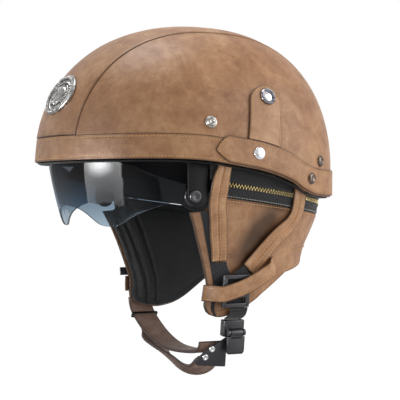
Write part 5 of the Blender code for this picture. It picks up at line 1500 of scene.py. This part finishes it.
def swellPad(piece):
    # Blown up a little as cloth over foam, held to its cap, then made finer
    mesh = piece.data
    rest = [v.co.copy() for v in mesh.vertices]
    cloth = piece.modifiers.new("swell", "CLOTH")
    cloth.settings.use_pressure = True
    cloth.settings.uniform_pressure_force = pad["pressure"]
    cloth.settings.effector_weights.gravity = 0.0
    for number in range(1, 21):
        bpy.context.scene.frame_set(number)
    swollen = piece.evaluated_get(bpy.context.evaluated_depsgraph_get()).to_mesh()
    for vert, start, end in zip(mesh.vertices, rest, swollen.vertices):
        move = end.co - start
        vert.co = start + move * min(1.0, pad["cap"] / max(move.length, 1e-9))
    piece.modifiers.clear()
    bpy.context.scene.frame_set(1)
    work = bmesh.new()
    work.from_mesh(mesh)
    bmesh.ops.subdivide_edges(work, edges=work.edges[:], cuts=1, use_grid_fill=True, smooth=0.6)
    work.to_mesh(mesh)
    work.free()


def makeEarLinings():
    face = -dome["leather"] - flap["liningGap"]  # where the flap's own side of the pad lies
    share = flap["inset"] / curtain["depth"]
    across, down = 60, 52
    for name, side in sides.items():

        def base(u, v, name=name):
            place = flapPlace(mix(share, 1 - share, u), mix(share, 1 - share, v), name)
            return place[0], place[1], pad["edge"] + pad["crown"] * padSwell(u, v)

        def lift(place, out, side=side):
            return curtainSide(place[0], place[1], face - (0.0 if out > -0.0005 else place[2]), side)

        piece = sheetPiece(
            "earLining" + name, "knit", shares(48), shares(42), base, lift, 0.003, (0.11, 0.09), 0.0003
        )
        swellPad(piece)
        # The seams between its quilted parts follow the flap's own u and v
        places, tree = [], KDTree((across + 1) * (down + 1))
        for i in range(across + 1):
            for j in range(down + 1):
                y, z = flapPlace(i / across, j / down, name)
                tree.insert((y, z, 0), len(places))
                places.append((i / across, j / down))
        tree.balance()
        for vert in piece.data.vertices:
            u, v = places[tree.find((vert.co.y, vert.co.z, 0))[1]]
            limit = abs(curtainSide(vert.co.y, vert.co.z, face, side).x)
            depth = limit - abs(vert.co.x)
            groove = sum(bell(u - place - 0.05 * (v - 0.5), pad["channelWidth"]) for place in pad["channels"])
            seam = bell(min(u, 1 - u, v, 1 - v) - 0.075, 0.022)
            press = pad["channelDepth"] * (groove + 0.7 * seam) * min(max(depth / 0.004, 0), 1)
            vert.co.x = math.copysign(min(limit - 0.0002, abs(vert.co.x) + press), vert.co.x)
        softEdges(piece.data, 80)
        piece.data.materials.clear()
        piece.data.materials.append(finishes["knit"])
        dress(piece, "helmet", "fabric", "ear_lining_" + name.lower())


curtainRows = []
tapeRows = makeZipper()
makeFlaps(curtainRows)
makeNeck(curtainRows)
makeEarLinings()
print("stage: curtain")

# Straps

strap = {"width": 0.0172, "lift": 0.0009, "thick": 0.0024, "groove": 0.0006}
webbing = {
    "width": 0.0160, "thick": 0.0014, "lowWidth": 0.0180, "tailThick": 0.0006,
    "threaded": (0.0202, 0.0004, 0.0041),  # width, thickness and height off the flap
}
keeper = {"width": 0.0150, "thick": 0.0016, "lift": 0.0092, "front": 0.20, "rear": 0.15}
routes = {
    "frontStrap": (
        (-0.152, -0.062, 0.72), (-0.152, -0.020, 0.76), (-0.176, 0.070, 0.96), (-0.183, 0.150, 1.0),
        (-0.181, 0.237, 1.0), (-0.160, 0.335, 1.0), (-0.141, 0.430, 1.0), (-0.125, 0.525, 0.96),
        (-0.118, 0.612, 0.90),
    ),
    "rearStrap": (
        (0.487, 0.105, 1.0), (0.493, 0.175, 1.0), (0.493, 0.245, 1.0), (0.482, 0.305, 1.0),
        (0.437, 0.372, 1.0), (0.348, 0.440, 1.0), (0.244, 0.541, 1.0), (0.115, 0.678, 1.0),
    ),
    "frontWebbing": ((-0.1172, 0.620, 1.0), (-0.110, 0.665, 1.0), (-0.085, 0.710, 1.0)),
    "rearWebbing": ((0.108, 0.685, 1.0), (0.075, 0.715, 1.0), (0.035, 0.740, 1.0)),
    "frontTail": ((-0.108, 0.655, 1.0), (-0.065, 0.735, 1.0), (-0.025, 0.800, 1.0)),
    "threadedWebbing": ((0.011, 0.735, 1.0), (0.011, 0.815, 1.0), (0.011, 0.905, 1.0)),
    "keeperBand": (
        (-0.219, 0.822, 1.0), (-0.165, 0.826, 1.0), (-0.090, 0.829, 1.0), (0.0, 0.806, 1.0),
        (0.055, 0.788, 1.0), (0.115, 0.763, 1.0), (0.175, 0.732, 1.0), (0.235, 0.699, 1.0),
        (0.290, 0.668, 1.0), (0.345, 0.636, 1.0),
    ),
}


def routePoint(table, along, across, width):
    rows = [(i / (len(table) - 1), *row) for i, row in enumerate(table)]
    forward, down, share = follow(rows, along)
    step = 0.5 / len(table)
    before, after = follow(rows, max(along - step, 0)), follow(rows, min(along + step, 1))
    heading = Vector((after[0] - before[0], before[1] - after[1])).normalized()
    middle = Vector((forward, -down)) * curtain["depth"]
    return middle + Vector((-heading.y, heading.x)) * ((across - 0.5) * width * share)


def keeperLift(u):
    rise = min(u / keeper["front"], (1 - u) / keeper["rear"], 1)
    return touch + keeper["lift"] * math.sin(rise * math.pi / 2) ** 2


def strapPiece(name, side, sizes, length, finish, slot, *nodes, relief=None, roll=0.0007):
    # The piece follows the route of its name; sizes are its width, its thickness and its height off the flap
    width, thick, lift = sizes

    def base(u, v):
        place = routePoint(routes[name], u, v, width)
        return place[0], place[1], (lift(u) if callable(lift) else lift) + thick

    def raised(place, out):
        return curtainSide(place[0], place[1], place[2] + out, sides[side])

    piece = sheetPiece(
        name + side, finish, max(int(length / 0.0016), 12), 18, base, raised, thick,
        (length, width), roll, relief,
    )
    dress(piece, "helmet", slot, *nodes)
    return base, raised


def edgeDips(v, inset, width):
    return 0.0003 * (bell(v - inset, width) + bell(v - (1 - inset), width))


def makeStraps(rows):
    def padded(u, v):
        # Two padded halves beside the middle groove, and a dip along each edge row
        crown = 0.0004 * math.sin(math.pi * min(v, 1 - v) * 2)
        return crown - strap["groove"] * bell(v - 0.5, 0.06) - edgeDips(v, 0.13, 0.03)

    def flat(u, v):
        return 0.0003 * math.sin(math.pi * v) - edgeDips(v, 0.14, 0.04)

    strapSizes = (strap["width"], strap["thick"], strap["lift"])
    wide, thick = webbing["width"], webbing["thick"]
    over = strap["lift"] + thick + touch
    for side in sides:
        low = side.lower()
        for name, node, length in (
            ("frontStrap", "front_strap_" + low, 0.092), ("rearStrap", "rear_strap_" + low, 0.100),
        ):
            base, raised = strapPiece(
                name, side, strapSizes, length, "paintedLitLeather", "leather", node, relief=padded
            )
            for v in (0.12, 0.42, 0.58, 0.88):
                sewnRow(rows, base, raised, straightTrack((0.02, v), (0.985, v), 60), 0.00005)
        for name, sizes, length, roll, *nodes in (
            ("frontWebbing", (wide, thick, strap["lift"]), 0.017, 0.0004, "front_webbing_" + low),
            ("rearWebbing", (wide, thick, over), 0.017, 0.0004, "rear_webbing_" + low),
            # Under the adjuster the front end runs on, and the lower webbing comes up behind its bars
            ("frontTail", (wide, webbing["tailThick"], touch), 0.024, 0.0002),
            ("threadedWebbing", webbing["threaded"], 0.023, 0.0002),
        ):
            strapPiece(name, side, sizes, length, "webbing", "webbing", *nodes, roll=roll)
        base, raised = strapPiece(
            "keeperBand", side, (keeper["width"], keeper["thick"], keeperLift), 0.096, "paintedLitLeather",
            "leather", "keeper_band_" + low, relief=flat,
        )
        for v in (0.14, 0.86):
            sewnRow(rows, base, raised, straightTrack((0.02, v), (0.98, v), 60), 0.00005)
        sewnRow(rows, base, raised, straightTrack((0.885, 0.10), (0.885, 0.90), 10), 0.00005)


adjuster = {"y": 0.0015, "z": -0.1094985, "half": 0.0140, "high": 0.0150, "thick": 0.0034, "lift": 0.0046}


def makeAdjusters():
    for name, side in sides.items():
        foot = curtainSide(adjuster["y"], adjuster["z"], 0, side)
        above = curtainSide(adjuster["y"], adjuster["z"] + adjuster["high"], 0, side)
        lean = math.atan2(above.x - foot.x, adjuster["high"])
        turn = Matrix(((0, 0, side, 0), (1, 0, 0, 0), (0, 1, 0, 0), (0, 0, 0, 1)))
        foot.x += side * adjuster["lift"]
        place = Matrix.Translation(foot) @ Matrix.Rotation(lean, 4, "Y") @ turn
        # A ladder frame: two rails, and bars that the webbing passes over and under
        thick, sunk = adjuster["thick"], 0.0004
        blocks = [(0.0042, 0.0300, x, 0.0, 0.0, thick) for x in (-0.0119, 0.0119)]
        blocks += [
            (0.0240, wide, 0.0, y, low, thick - low)
            for y, wide, low in ((0.0131, 0.0038, 0.0), (0.0044, 0.0034, sunk), (-0.0044, 0.0034, sunk),
                                 (-0.0131, 0.0038, 0.0))
        ]
        meshes = [
            blockMesh("bar", rectangle(wide, high, x, y), low, top, 0.0006, place)
            for wide, high, x, y, low, top in blocks
        ]
        if side < 0:
            tab = rectangle(0.0330, 0.0080, -0.0170, 0.0107)
            meshes.append(blockMesh("tab", tab, 0.0, 0.0017, 0.0004, place))
        piece = linkPiece("strapAdjuster" + name, joinMeshes("strapAdjuster" + name, meshes), "glossPlastic")
        dress(piece, "helmet", "plastic", "strap_adjuster_" + name.lower())


makeStraps(curtainRows)
sewPiece("curtainStitches", curtainRows, "helmet")
sewPiece("tapeStitches", tapeRows, "helmet", "paleThread", 0.9)
makeAdjusters()
print("stage: straps")

# Buckle and chin strap

buckle = {
    "x": 0.1186 * 0.6239, "y": 0.0060, "z": -0.1350 * 1.0963, "hingeX": -0.1186 * 0.7420,
    "hingeZ": -0.1261985, "tongue": 0.0134, "tongueThick": 0.0022, "reach": 0.0085, "width": 0.0212,
    "thick": 0.0076, "slot": 0.0017,
    "top": 0.0112, "bottom": -0.0040, "pinY": 0.0006, "pinZ": 0.0078, "ear": 0.0030, "earX": 0.0077,
    "earHalf": 0.0013, "knuckleHalf": 0.0059, "leverHalf": 0.0015,
    # The lever's blade in x and y from its pin; the tongue and its arm as shares of their own sizes
    "blade": (
        (-0.0090, -0.0034), (-0.0090, -0.0178), (-0.0074, -0.0200), (0.0074, -0.0200), (0.0090, -0.0178),
        (0.0090, -0.0034),
    ),
    "tongueShape": (
        (0.0, 1.0), (1.0, 1.0), (1.0, 0.0), (0.0, -0.40), (0.0, -1.0), (-0.20, -1.0), (-0.88, -0.92),
        (-1.0, -0.80), (-0.62, -0.36), (-0.50, -0.29), (0.0, -0.06),
    ),
    "rivets": ((-0.0205, -0.0152), (-0.0270, -0.0225)),
    "rivetProfile": (
        (0, 0.0009), (0.0009, 0.0009), (0.0013, 0.0013), (0.0019, 0.0015), (0.0025, 0.0013), (0.0029, 0.0008),
        (0.0030, 0.0002), (0.0030, 0), (0, 0),
    ),
}


def buckleFrame():
    lean = math.atan2(buckle["hingeZ"] - buckle["z"], buckle["x"] - buckle["hingeX"])
    up, along = Vector((math.sin(lean), 0, math.cos(lean))), Vector((0, 1, 0))
    turn = Matrix((along, up, along.cross(up))).transposed().to_4x4()
    return Matrix.Translation((buckle["x"], buckle["y"], buckle["z"])) @ turn


def flatBase(u, v):
    return u, v


def makeBuckle():
    place = buckleFrame()
    half, width = buckle["thick"] / 2, buckle["width"]
    # Body: two cheeks, a back and a front plate round the tongue's slot
    cheek = (width - buckle["tongue"] - 0.0012) / 2
    middle = (buckle["top"] + buckle["bottom"]) / 2
    tall = buckle["top"] - buckle["bottom"]
    plate = rectangle(width - 0.0016, tall - 0.0004, 0, middle)
    across = Matrix.Rotation(math.pi / 2, 4, "Y")
    cheeks = [rectangle(cheek, tall, side * (width - cheek) / 2, middle) for side in sides.values()]
    meshes = [blockMesh("cheek", outline, -half, half, 0.0009, place) for outline in cheeks]
    for low, high in ((-half, -buckle["slot"]), (buckle["slot"], half)):
        meshes.append(blockMesh("plate", plate, low, high, 0.0006, place))
    bridge = rectangle(0.0136, 0.0014, 0, buckle["top"] - 0.0008)
    meshes.append(blockMesh("bridge", bridge, -0.0018, 0.0018, 0.0003, place))
    for side in sides.values():
        ear, foot = circle(buckle["ear"], 28), rectangle(2 * buckle["earHalf"], 0.0060)
        at = place @ Matrix.Translation((side * buckle["earX"], buckle["pinY"], buckle["pinZ"])) @ across
        meshes.append(blockMesh("ear", ear, -buckle["earHalf"], buckle["earHalf"], 0.0004, at))
        at = place @ Matrix.Translation((side * buckle["earX"], buckle["pinY"], 0))
        meshes.append(blockMesh("earFoot", foot, half - 0.0012, buckle["pinZ"], 0.0004, at))
    for i in range(5):
        rib = rectangle(0.0150, 0.0007, 0, 0.0040 + 0.0014 * i)
        meshes.append(blockMesh("rib", rib, half - 0.0003, half + 0.0005, 0.0002, place, 2))
    piece = linkPiece("buckleBody", joinMeshes("buckleBody", meshes), "glossPlastic")
    dress(piece, "helmet", "plastic", "buckle_body")

    hinge = place @ Matrix.Translation((0, buckle["pinY"], buckle["pinZ"]))
    reach, thick = buckle["knuckleHalf"], buckle["leverHalf"]
    lever = [
        blockMesh("knuckle", circle(buckle["ear"], 28), -reach, reach, 0.0003, hinge @ across),
        blockMesh("neck", rectangle(2 * reach, 0.0056, 0, -0.0028), -thick, thick, 0.0004, hinge),
        blockMesh("blade", buckle["blade"], -thick, thick, 0.0007, hinge),
    ]
    for i in range(6):
        grip = rectangle(0.0136, 0.0008, 0, -0.0175 + 0.0016 * i)
        lever.append(blockMesh("grip", grip, 0.0012, 0.00155, 0.0002, hinge, 2))
    piece = linkPiece("buckleLever", joinMeshes("buckleLever", lever), "glossPlastic")
    dress(piece, "buckle_lever", "plastic", "buckle_lever")

    outline = []
    for xShare, yShare in buckle["tongueShape"]:
        x = xShare * (buckle["tongue"] / 2 if xShare > 0 else 0.0380)
        if xShare == 0:
            x = -buckle["tongue"] / 2 if yShare > -0.3 else -0.0050
        below = buckle["bottom"] + yShare * (buckle["bottom"] + 0.0325)
        outline.append((x, yShare * buckle["reach"] if yShare > 0 else below))
    thin = buckle["tongueThick"] / 2
    meshes = [blockMesh("tongue", outline, -thin, thin, 0.0006, place)]
    piece = linkPiece("buckleTongue", joinMeshes("buckleTongue", meshes), "glossPlastic")
    dress(piece, "chin_strap", "plastic", "buckle_tongue")
    points = [place @ Vector((x, y, thin + touch)) for x, y in buckle["rivets"]]
    outward = (place.to_3x3() @ Vector((0, 0, 1))).normalized()
    piece = setFittings("chinRivets", buckle["rivetProfile"], points, [outward, outward], "chrome", 32)
    dress(piece, "chin_strap", "chrome", "chin_rivet_upper", "chin_rivet_lower")

    # The webbing from the adjuster bends down into the buckle
    start = curtainSide(buckle["y"], adjuster["z"] - adjuster["high"] - 2 * touch, 0, 1)
    start.x += adjuster["lift"] + adjuster["thick"] / 2
    end = place @ Vector((0, buckle["top"] + 0.0012, 0))
    bend = Vector((start.x - webbing["thick"], buckle["y"], mix(start.z, end.z, 0.75)))

    def webLift(at, out):
        u, v = at
        point = start.lerp(bend, u).lerp(bend.lerp(end, u), u)
        heading = (bend - start).lerp(end - bend, u).normalized()
        point = point + Vector((0, 1, 0)).cross(-heading) * (webbing["thick"] / 2 + out)
        point.y += (v - 0.5) * webbing["lowWidth"]
        return point

    piece = sheetPiece(
        "lowerWebbing", "webbing", 24, 18, flatBase, webLift, webbing["thick"], (0.014, webbing["lowWidth"]),
        0.0004,
    )
    dress(piece, "helmet", "webbing", "lower_webbing")


chin = {
    "width": 0.0250, "thick": 0.0028, "strapY": -0.0110, "padY": -0.0140, "span": 0.1186 * 0.7420,
    "drop": 0.0620, "taper": 0.45, "loopHalf": 0.0006, "loopHigh": 0.0014,
    "strap": (
        (-1.0, -0.014), (-0.985, 0.08), (-0.93, 0.20), (-0.76, 0.37), (-0.50, 0.55), (-0.20, 0.67),
        (0.10, 0.70), (0.40, 0.685), (0.62, 0.65), (0.715, 0.585), (0.742, 0.50),
    ),
    "pad": (
        (-0.72, 0.47, 0.0), (-0.56, 0.63, 10.0), (-0.36, 0.78, 30.0), (-0.12, 0.88, 44.0),
        (0.12, 0.94, 42.0), (0.36, 0.955, 26.0), (0.56, 0.905, 10.0), (0.665, 0.815, 2.0), (0.712, 0.72, 0.0),
    ),
}


def chinFrame(table, along):
    rows = [(i / (len(table) - 1), *row) for i, row in enumerate(table)]

    def place(at):
        values = follow(rows, min(max(at, 0), 1))
        return Vector((values[0] * chin["span"], 0, buckle["hingeZ"] - values[1] * chin["drop"]))

    step = 0.3 / len(table)
    heading = (place(along + step) - place(along - step)).normalized()
    tilt = math.radians(follow(rows, along)[2]) if len(rows[0]) > 3 else 0
    return place(along), Vector((heading.z, 0, -heading.x)), tilt


def chinLift(table, middleY, taper=0.0):
    def lift(at, out):
        u, v = at
        point, outwards, tilt = chinFrame(table, u)
        flat = Vector((0, 1, 0))
        sideways = flat * math.cos(tilt) + outwards * math.sin(tilt)
        normal = outwards * math.cos(tilt) - flat * math.sin(tilt)
        wide = chin["width"] * (1 - taper * (bell(u, 0.07) + 0.6 * bell(1 - u, 0.05)))
        point = point + sideways * ((v - 0.5) * wide) + normal * (chin["thick"] / 2 + out)
        point.y += middleY
        return point

    return lift


def makeChinStrap():
    rows = []

    def strapDip(u, v):
        return 0.0003 * math.sin(math.pi * v) - edgeDips(v, 0.12, 0.03)

    for name, kind, node, length, taper in (
        ("chinStrap", "strap", "chin_strap", 0.19, 0.0), ("chinPad", "pad", "chin_pad", 0.16, chin["taper"]),
    ):
        lift = chinLift(chin[kind], chin[kind + "Y"], taper)
        piece = sheetPiece(
            name, "chinLeather", 110, 26, flatBase, lift, chin["thick"], (length, chin["width"]), 0.0008,
            strapDip,
        )
        dress(piece, "chin_strap", "dark_leather", node)
        for v in (0.11, 0.89):
            sewnRow(rows, flatBase, lift, straightTrack((0.02, v), (0.98, v), 120))
    lift = chinLift(chin["strap"], chin["strapY"])
    # The anchor where the strap is sewn in: bars across and two crossing rows
    for start, end, count in (
        ((0.035, 0.15), (0.035, 0.85), 8), ((0.20, 0.15), (0.20, 0.85), 8),
        ((0.04, 0.18), (0.195, 0.82), 24), ((0.04, 0.82), (0.195, 0.18), 24),
    ):
        sewnRow(rows, flatBase, lift, straightTrack(start, end, count))
    sewPiece("chinStitches", rows, "chin_strap", "darkThread", 0.9)
    # The thin loop that holds the strap's end, oval in section
    point, outwards, _ = chinFrame(chin["strap"], 0.24)
    flat = Vector((0, 1, 0))
    place = Matrix((outwards, flat, outwards.cross(flat))).transposed().to_4x4()
    place.translation = point + flat * chin["strapY"]
    wide, deep = chin["width"] / 2 + 0.0005, chin["thick"] / 2 + 0.0005
    corners = ((deep, wide, 0), (-deep, wide, 90), (-deep, -wide, 180), (deep, -wide, 270))
    path = [(x, y, math.radians(start + 15 * step)) for x, y, start in corners for step in range(7)]
    verts, faces, count, total = [], [], 8, len(path)
    for x, y, way in path:
        for outward, along in circle(1.0, count):
            reach = chin["loopHalf"] * (1 + outward)
            at = (x + math.cos(way) * reach, y + math.sin(way) * reach, chin["loopHigh"] * along)
            verts.append(tuple(place @ Vector(at)))
    for i in range(total):
        for j in range(count):
            a, b = i * count + j, i * count + (j + 1) % count
            c, d = (i + 1) % total * count + (j + 1) % count, (i + 1) % total * count + j
            faces.append((a, b, c, d))
    mesh = bpy.data.meshes.new("keeperLoop")
    mesh.from_pydata(verts, [], faces)
    tidyMesh(mesh)
    softEdges(mesh, 60)
    dress(linkPiece("keeperLoop", mesh, "plastic"), "chin_strap", "plastic", "keeper_loop")


makeBuckle()
makeChinStrap()
print("stage: buckle and chin strap")

# Inside

liner = {
    "halfWidth": 0.0815, "front": 0.0980, "rear": 0.0960, "height": 0.1060, "skirt": 0.400, "risePower": 2.1,
    "hang": (  # how far it hangs below the rim, from the brow round to the nape
        (0.0, 0.0160), (0.20, 0.0200), (0.34, 0.0280), (0.41, 0.0350), (0.62, 0.0400), (0.80, 0.0430),
        (1.0, 0.0440),
    ),
    # how far the edge rolls out, which makes the pad at the brow and the temples
    "roll": 0.0200, "rollRise": 0.12,
    "rollShares": ((0.0, 1.0), (0.20, 1.0), (0.34, 0.72), (0.42, 0.6), (0.5, 0), (1, 0)),
    "skin": 0.0005, "edge": 0.0019, "quilt": 0.0019, "padsRound": 5, "padsUp": 3, "fullness": 0.35,
}


def capPoint(u, v, rise):
    climb = v * math.pi / 2
    crown = Vector((0, 0, dome["height"]))
    return rimPoint(2 * math.pi * u, rise) * math.cos(climb) + crown * math.sin(climb)


def cavity(point, out):
    return point * eggValue(point, *grown(liner, out)) ** (-1 / liner["risePower"])


def makeComfortLiner():
    # Quilted pads between seams that run up to the crown and round the head
    def base(u, v):
        around = abs(math.sin(u * 2 * math.pi * liner["padsRound"])) ** liner["fullness"]
        up = abs(math.sin(min(v, 0.9999) * math.pi * liner["padsUp"])) ** liner["fullness"]
        toNape = 2 * min(u % 1, 1 - u % 1)
        roll = liner["roll"] * follow(liner["rollShares"], toNape) * max(0, 1 - v / liner["rollRise"]) ** 0.7
        return (*capPoint(u, v, 0.0030 - follow(liner["hang"], toNape)), around * up, roll)

    def lift(place, out):
        deep = liner["skin"] if out > -0.0005 else liner["edge"] + liner["quilt"] * place[3]
        return cavity(Vector(place[:3]), place[4] - deep)

    piece = sheetPiece(
        "comfortLiner", "knit", shares(200), shares(70), base, lift, 0.002, (0.6, 0.15), 0.0003, ring=True
    )
    dress(piece, "helmet", "fabric", "comfort_liner")


makeComfortLiner()

kept = {
    "outer_shell": "shell", "rim_edging": "shell", "foam_liner": "foam", "lever_pin": "nickel",
    "zipper_slider": "brass", "zipper_pull": "brass",
}
for node, finish in kept.items():
    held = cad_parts[node].data.materials
    held.clear()
    held.append(finishes[finish])
print("stage: inside")

# Camera, floor and light

view = {"azimuth": 62.1, "elevation": -0.1, "lens": 121.04, "place": (1.15381, -0.59892, -0.02927)}


def makeCamera():
    camera = addObject("photoCamera", bpy.data.cameras.new("photoCamera"))
    azimuth, rise = math.radians(view["azimuth"]), math.radians(view["elevation"])
    back = Vector((math.sin(azimuth) * math.cos(rise), -math.cos(azimuth) * math.cos(rise), math.sin(rise)))
    camera.location = view["place"]
    camera.rotation_mode = "QUATERNION"
    camera.rotation_quaternion = (-back).to_track_quat("-Z", "Y")
    camera.data.lens = view["lens"]
    camera.data.sensor_width = 36.0
    camera.data.clip_start, camera.data.clip_end = 0.05, 40.0
    bpy.context.scene.camera = camera


def makeFloor():
    # Pale paper; the camera sees it all but white, and it keeps the shadow
    work = bmesh.new()
    bmesh.ops.create_grid(work, x_segments=1, y_segments=1, size=6.0)
    bmesh.ops.translate(work, vec=(0, 0, cadBox[0][2] - 0.0005), verts=work.verts[:])
    mesh = bpy.data.meshes.new("paleFloor")
    work.to_mesh(mesh)
    work.free()
    finish, tree, shader = startFinish("palePaper", {"Base Color": hexColour("#F2F2F2"), "Roughness": 0.9})
    white = addNode(tree, "ShaderNodeEmission", {"Color": (1, 1, 1, 1), "Strength": 1.05})
    rays = addNode(tree, "ShaderNodeLightPath").outputs
    share = addNode(tree, "ShaderNodeMath", {1: 0.94}, {0: rays["Is Camera Ray"]}, operation="MULTIPLY")
    both = addNode(tree, "ShaderNodeMath", links={
        0: rays["Is Transmission Ray"], 1: share.outputs[0],
    }, operation="MAXIMUM")
    blend = addNode(tree, "ShaderNodeMixShader", links={
        0: both.outputs[0], 1: shader.outputs[0], 2: white.outputs[0],
    })
    feed(tree, tree.nodes["Material Output"], {"Surface": blend.outputs[0]})
    mesh.materials.append(finish)
    floor = addObject("paleFloor", mesh)


def makeWorld():
    # White to the eye and through glass, pale to gloss, and a low even fill to everything else
    world = bpy.data.worlds.new("studio")
    bpy.context.scene.world = world
    world.use_nodes = True
    tree = world.node_tree
    tree.nodes.clear()
    rays = addNode(tree, "ShaderNodeLightPath").outputs
    gloss = addNode(tree, "ShaderNodeMath", {1: 0.46, 2: 0.27}, {
        0: rays["Is Glossy Ray"],
    }, operation="MULTIPLY_ADD")
    seen = addNode(tree, "ShaderNodeMath", links={
        0: rays["Is Camera Ray"], 1: rays["Is Transmission Ray"],
    }, operation="MAXIMUM")
    level = addNode(tree, "ShaderNodeMath", links={
        0: gloss.outputs[0], 1: seen.outputs[0],
    }, operation="MAXIMUM")
    light = addNode(tree, "ShaderNodeBackground", {"Color": (1, 1, 1, 1)}, {"Strength": level.outputs[0]})
    addNode(tree, "ShaderNodeOutputWorld", links={0: light.outputs[0]})


lamps = {
    # name: (place, target, width, height, watts)
    "overheadBox": ((-0.20, -0.15, 1.45), (0.0, 0.0, 0.02), 0.8, 0.8, 12.5),
    "frontBox": ((0.05, -1.45, 0.55), (0.0, 0.0, 0.0), 0.8, 0.8, 2.0),
    "rearBox": ((0.95, 1.05, 0.50), (0.0, 0.0, 0.0), 1.3, 1.3, 14.0),
}


def makeLamps():
    for name, (place, target, width, height, watts) in lamps.items():
        light = bpy.data.lights.new(name, "AREA")
        light.shape = "RECTANGLE"
        light.size, light.size_y = width, height
        light.energy = watts
        lamp = addObject(name, light)
        lamp.location = place
        lamp.rotation_euler = (Vector(target) - Vector(place)).to_track_quat("-Z", "Y").to_euler()


# A softbox in front of the brow, which only the gloss of the visor picks up; rows run from its top down
softbox = {
    "rows": (
        ((-0.065, -0.440, -0.001), (0.060, -0.451, -0.009), (0.168, -0.427, -0.010), (0.254, -0.381, -0.001)),
        ((-0.065, -0.440, -0.036), (0.060, -0.451, -0.044), (0.168, -0.427, -0.045), (0.254, -0.381, -0.036)),
        ((-0.091, -0.429, -0.106), (0.034, -0.449, -0.124), (0.130, -0.434, -0.131), (0.216, -0.400, -0.111)),
        ((-0.103, -0.420, -0.153), (0.017, -0.444, -0.175), (0.092, -0.437, -0.179), (0.159, -0.418, -0.153)),
    ),
    "top": -0.045, "foot": -0.165, "levels": (3.6, 13.5), "reach": 0.060, "glow": 44.0,
    "bulb": (0.083, -0.448, -0.064), "squeeze": (0.36, 1.0, 1.0),
}


def makeSoftbox():
    mesh = bpy.data.meshes.new("visorSoftbox")
    faces = [(4 * r + c, 4 * r + c + 1, 4 * r + c + 5, 4 * r + c + 4) for r in range(3) for c in range(3)]
    mesh.from_pydata([corner for row in softbox["rows"] for corner in row], [], faces)
    finish, tree, _ = startFinish("diffuserCloth", {})
    place = objectPlace(tree)
    height = addNode(tree, "ShaderNodeSeparateXYZ", links={0: place})
    level = addNode(tree, "ShaderNodeMapRange", {
        1: softbox["foot"], 2: softbox["top"], 3: softbox["levels"][0], 4: softbox["levels"][1],
    }, {0: height.outputs["Z"]})
    offset = addNode(tree, "ShaderNodeVectorMath", {1: softbox["bulb"]}, {0: place}, operation="SUBTRACT")
    squeezed = addNode(tree, "ShaderNodeVectorMath", {1: softbox["squeeze"]}, {
        0: offset.outputs["Vector"],
    }, operation="MULTIPLY")
    away = addNode(tree, "ShaderNodeVectorMath", links={0: squeezed.outputs["Vector"]}, operation="LENGTH")
    glow = addNode(tree, "ShaderNodeMapRange", {
        1: softbox["reach"], 2: 0.0, 3: 0.0, 4: softbox["glow"],
    }, {0: away.outputs["Value"]}, interpolation_type="SMOOTHSTEP")
    total = addNode(tree, "ShaderNodeMath", links={0: level.outputs[0], 1: glow.outputs[0]}, operation="ADD")
    light = addNode(tree, "ShaderNodeEmission", {"Color": (1, 1, 1, 1)}, {"Strength": total.outputs[0]})
    feed(tree, tree.nodes["Material Output"], {"Surface": light.outputs[0]})
    mesh.materials.append(finish)
    card = addObject("visorSoftbox", mesh)
    card.visible_camera = card.visible_diffuse = card.visible_shadow = card.visible_transmission = False


makeCamera()
makeFloor()
makeSoftbox()
makeWorld()
makeLamps()
bpy.context.scene.view_settings.view_transform = "Standard"
print("stage: camera, floor and light")

bpy.context.view_layer.update()
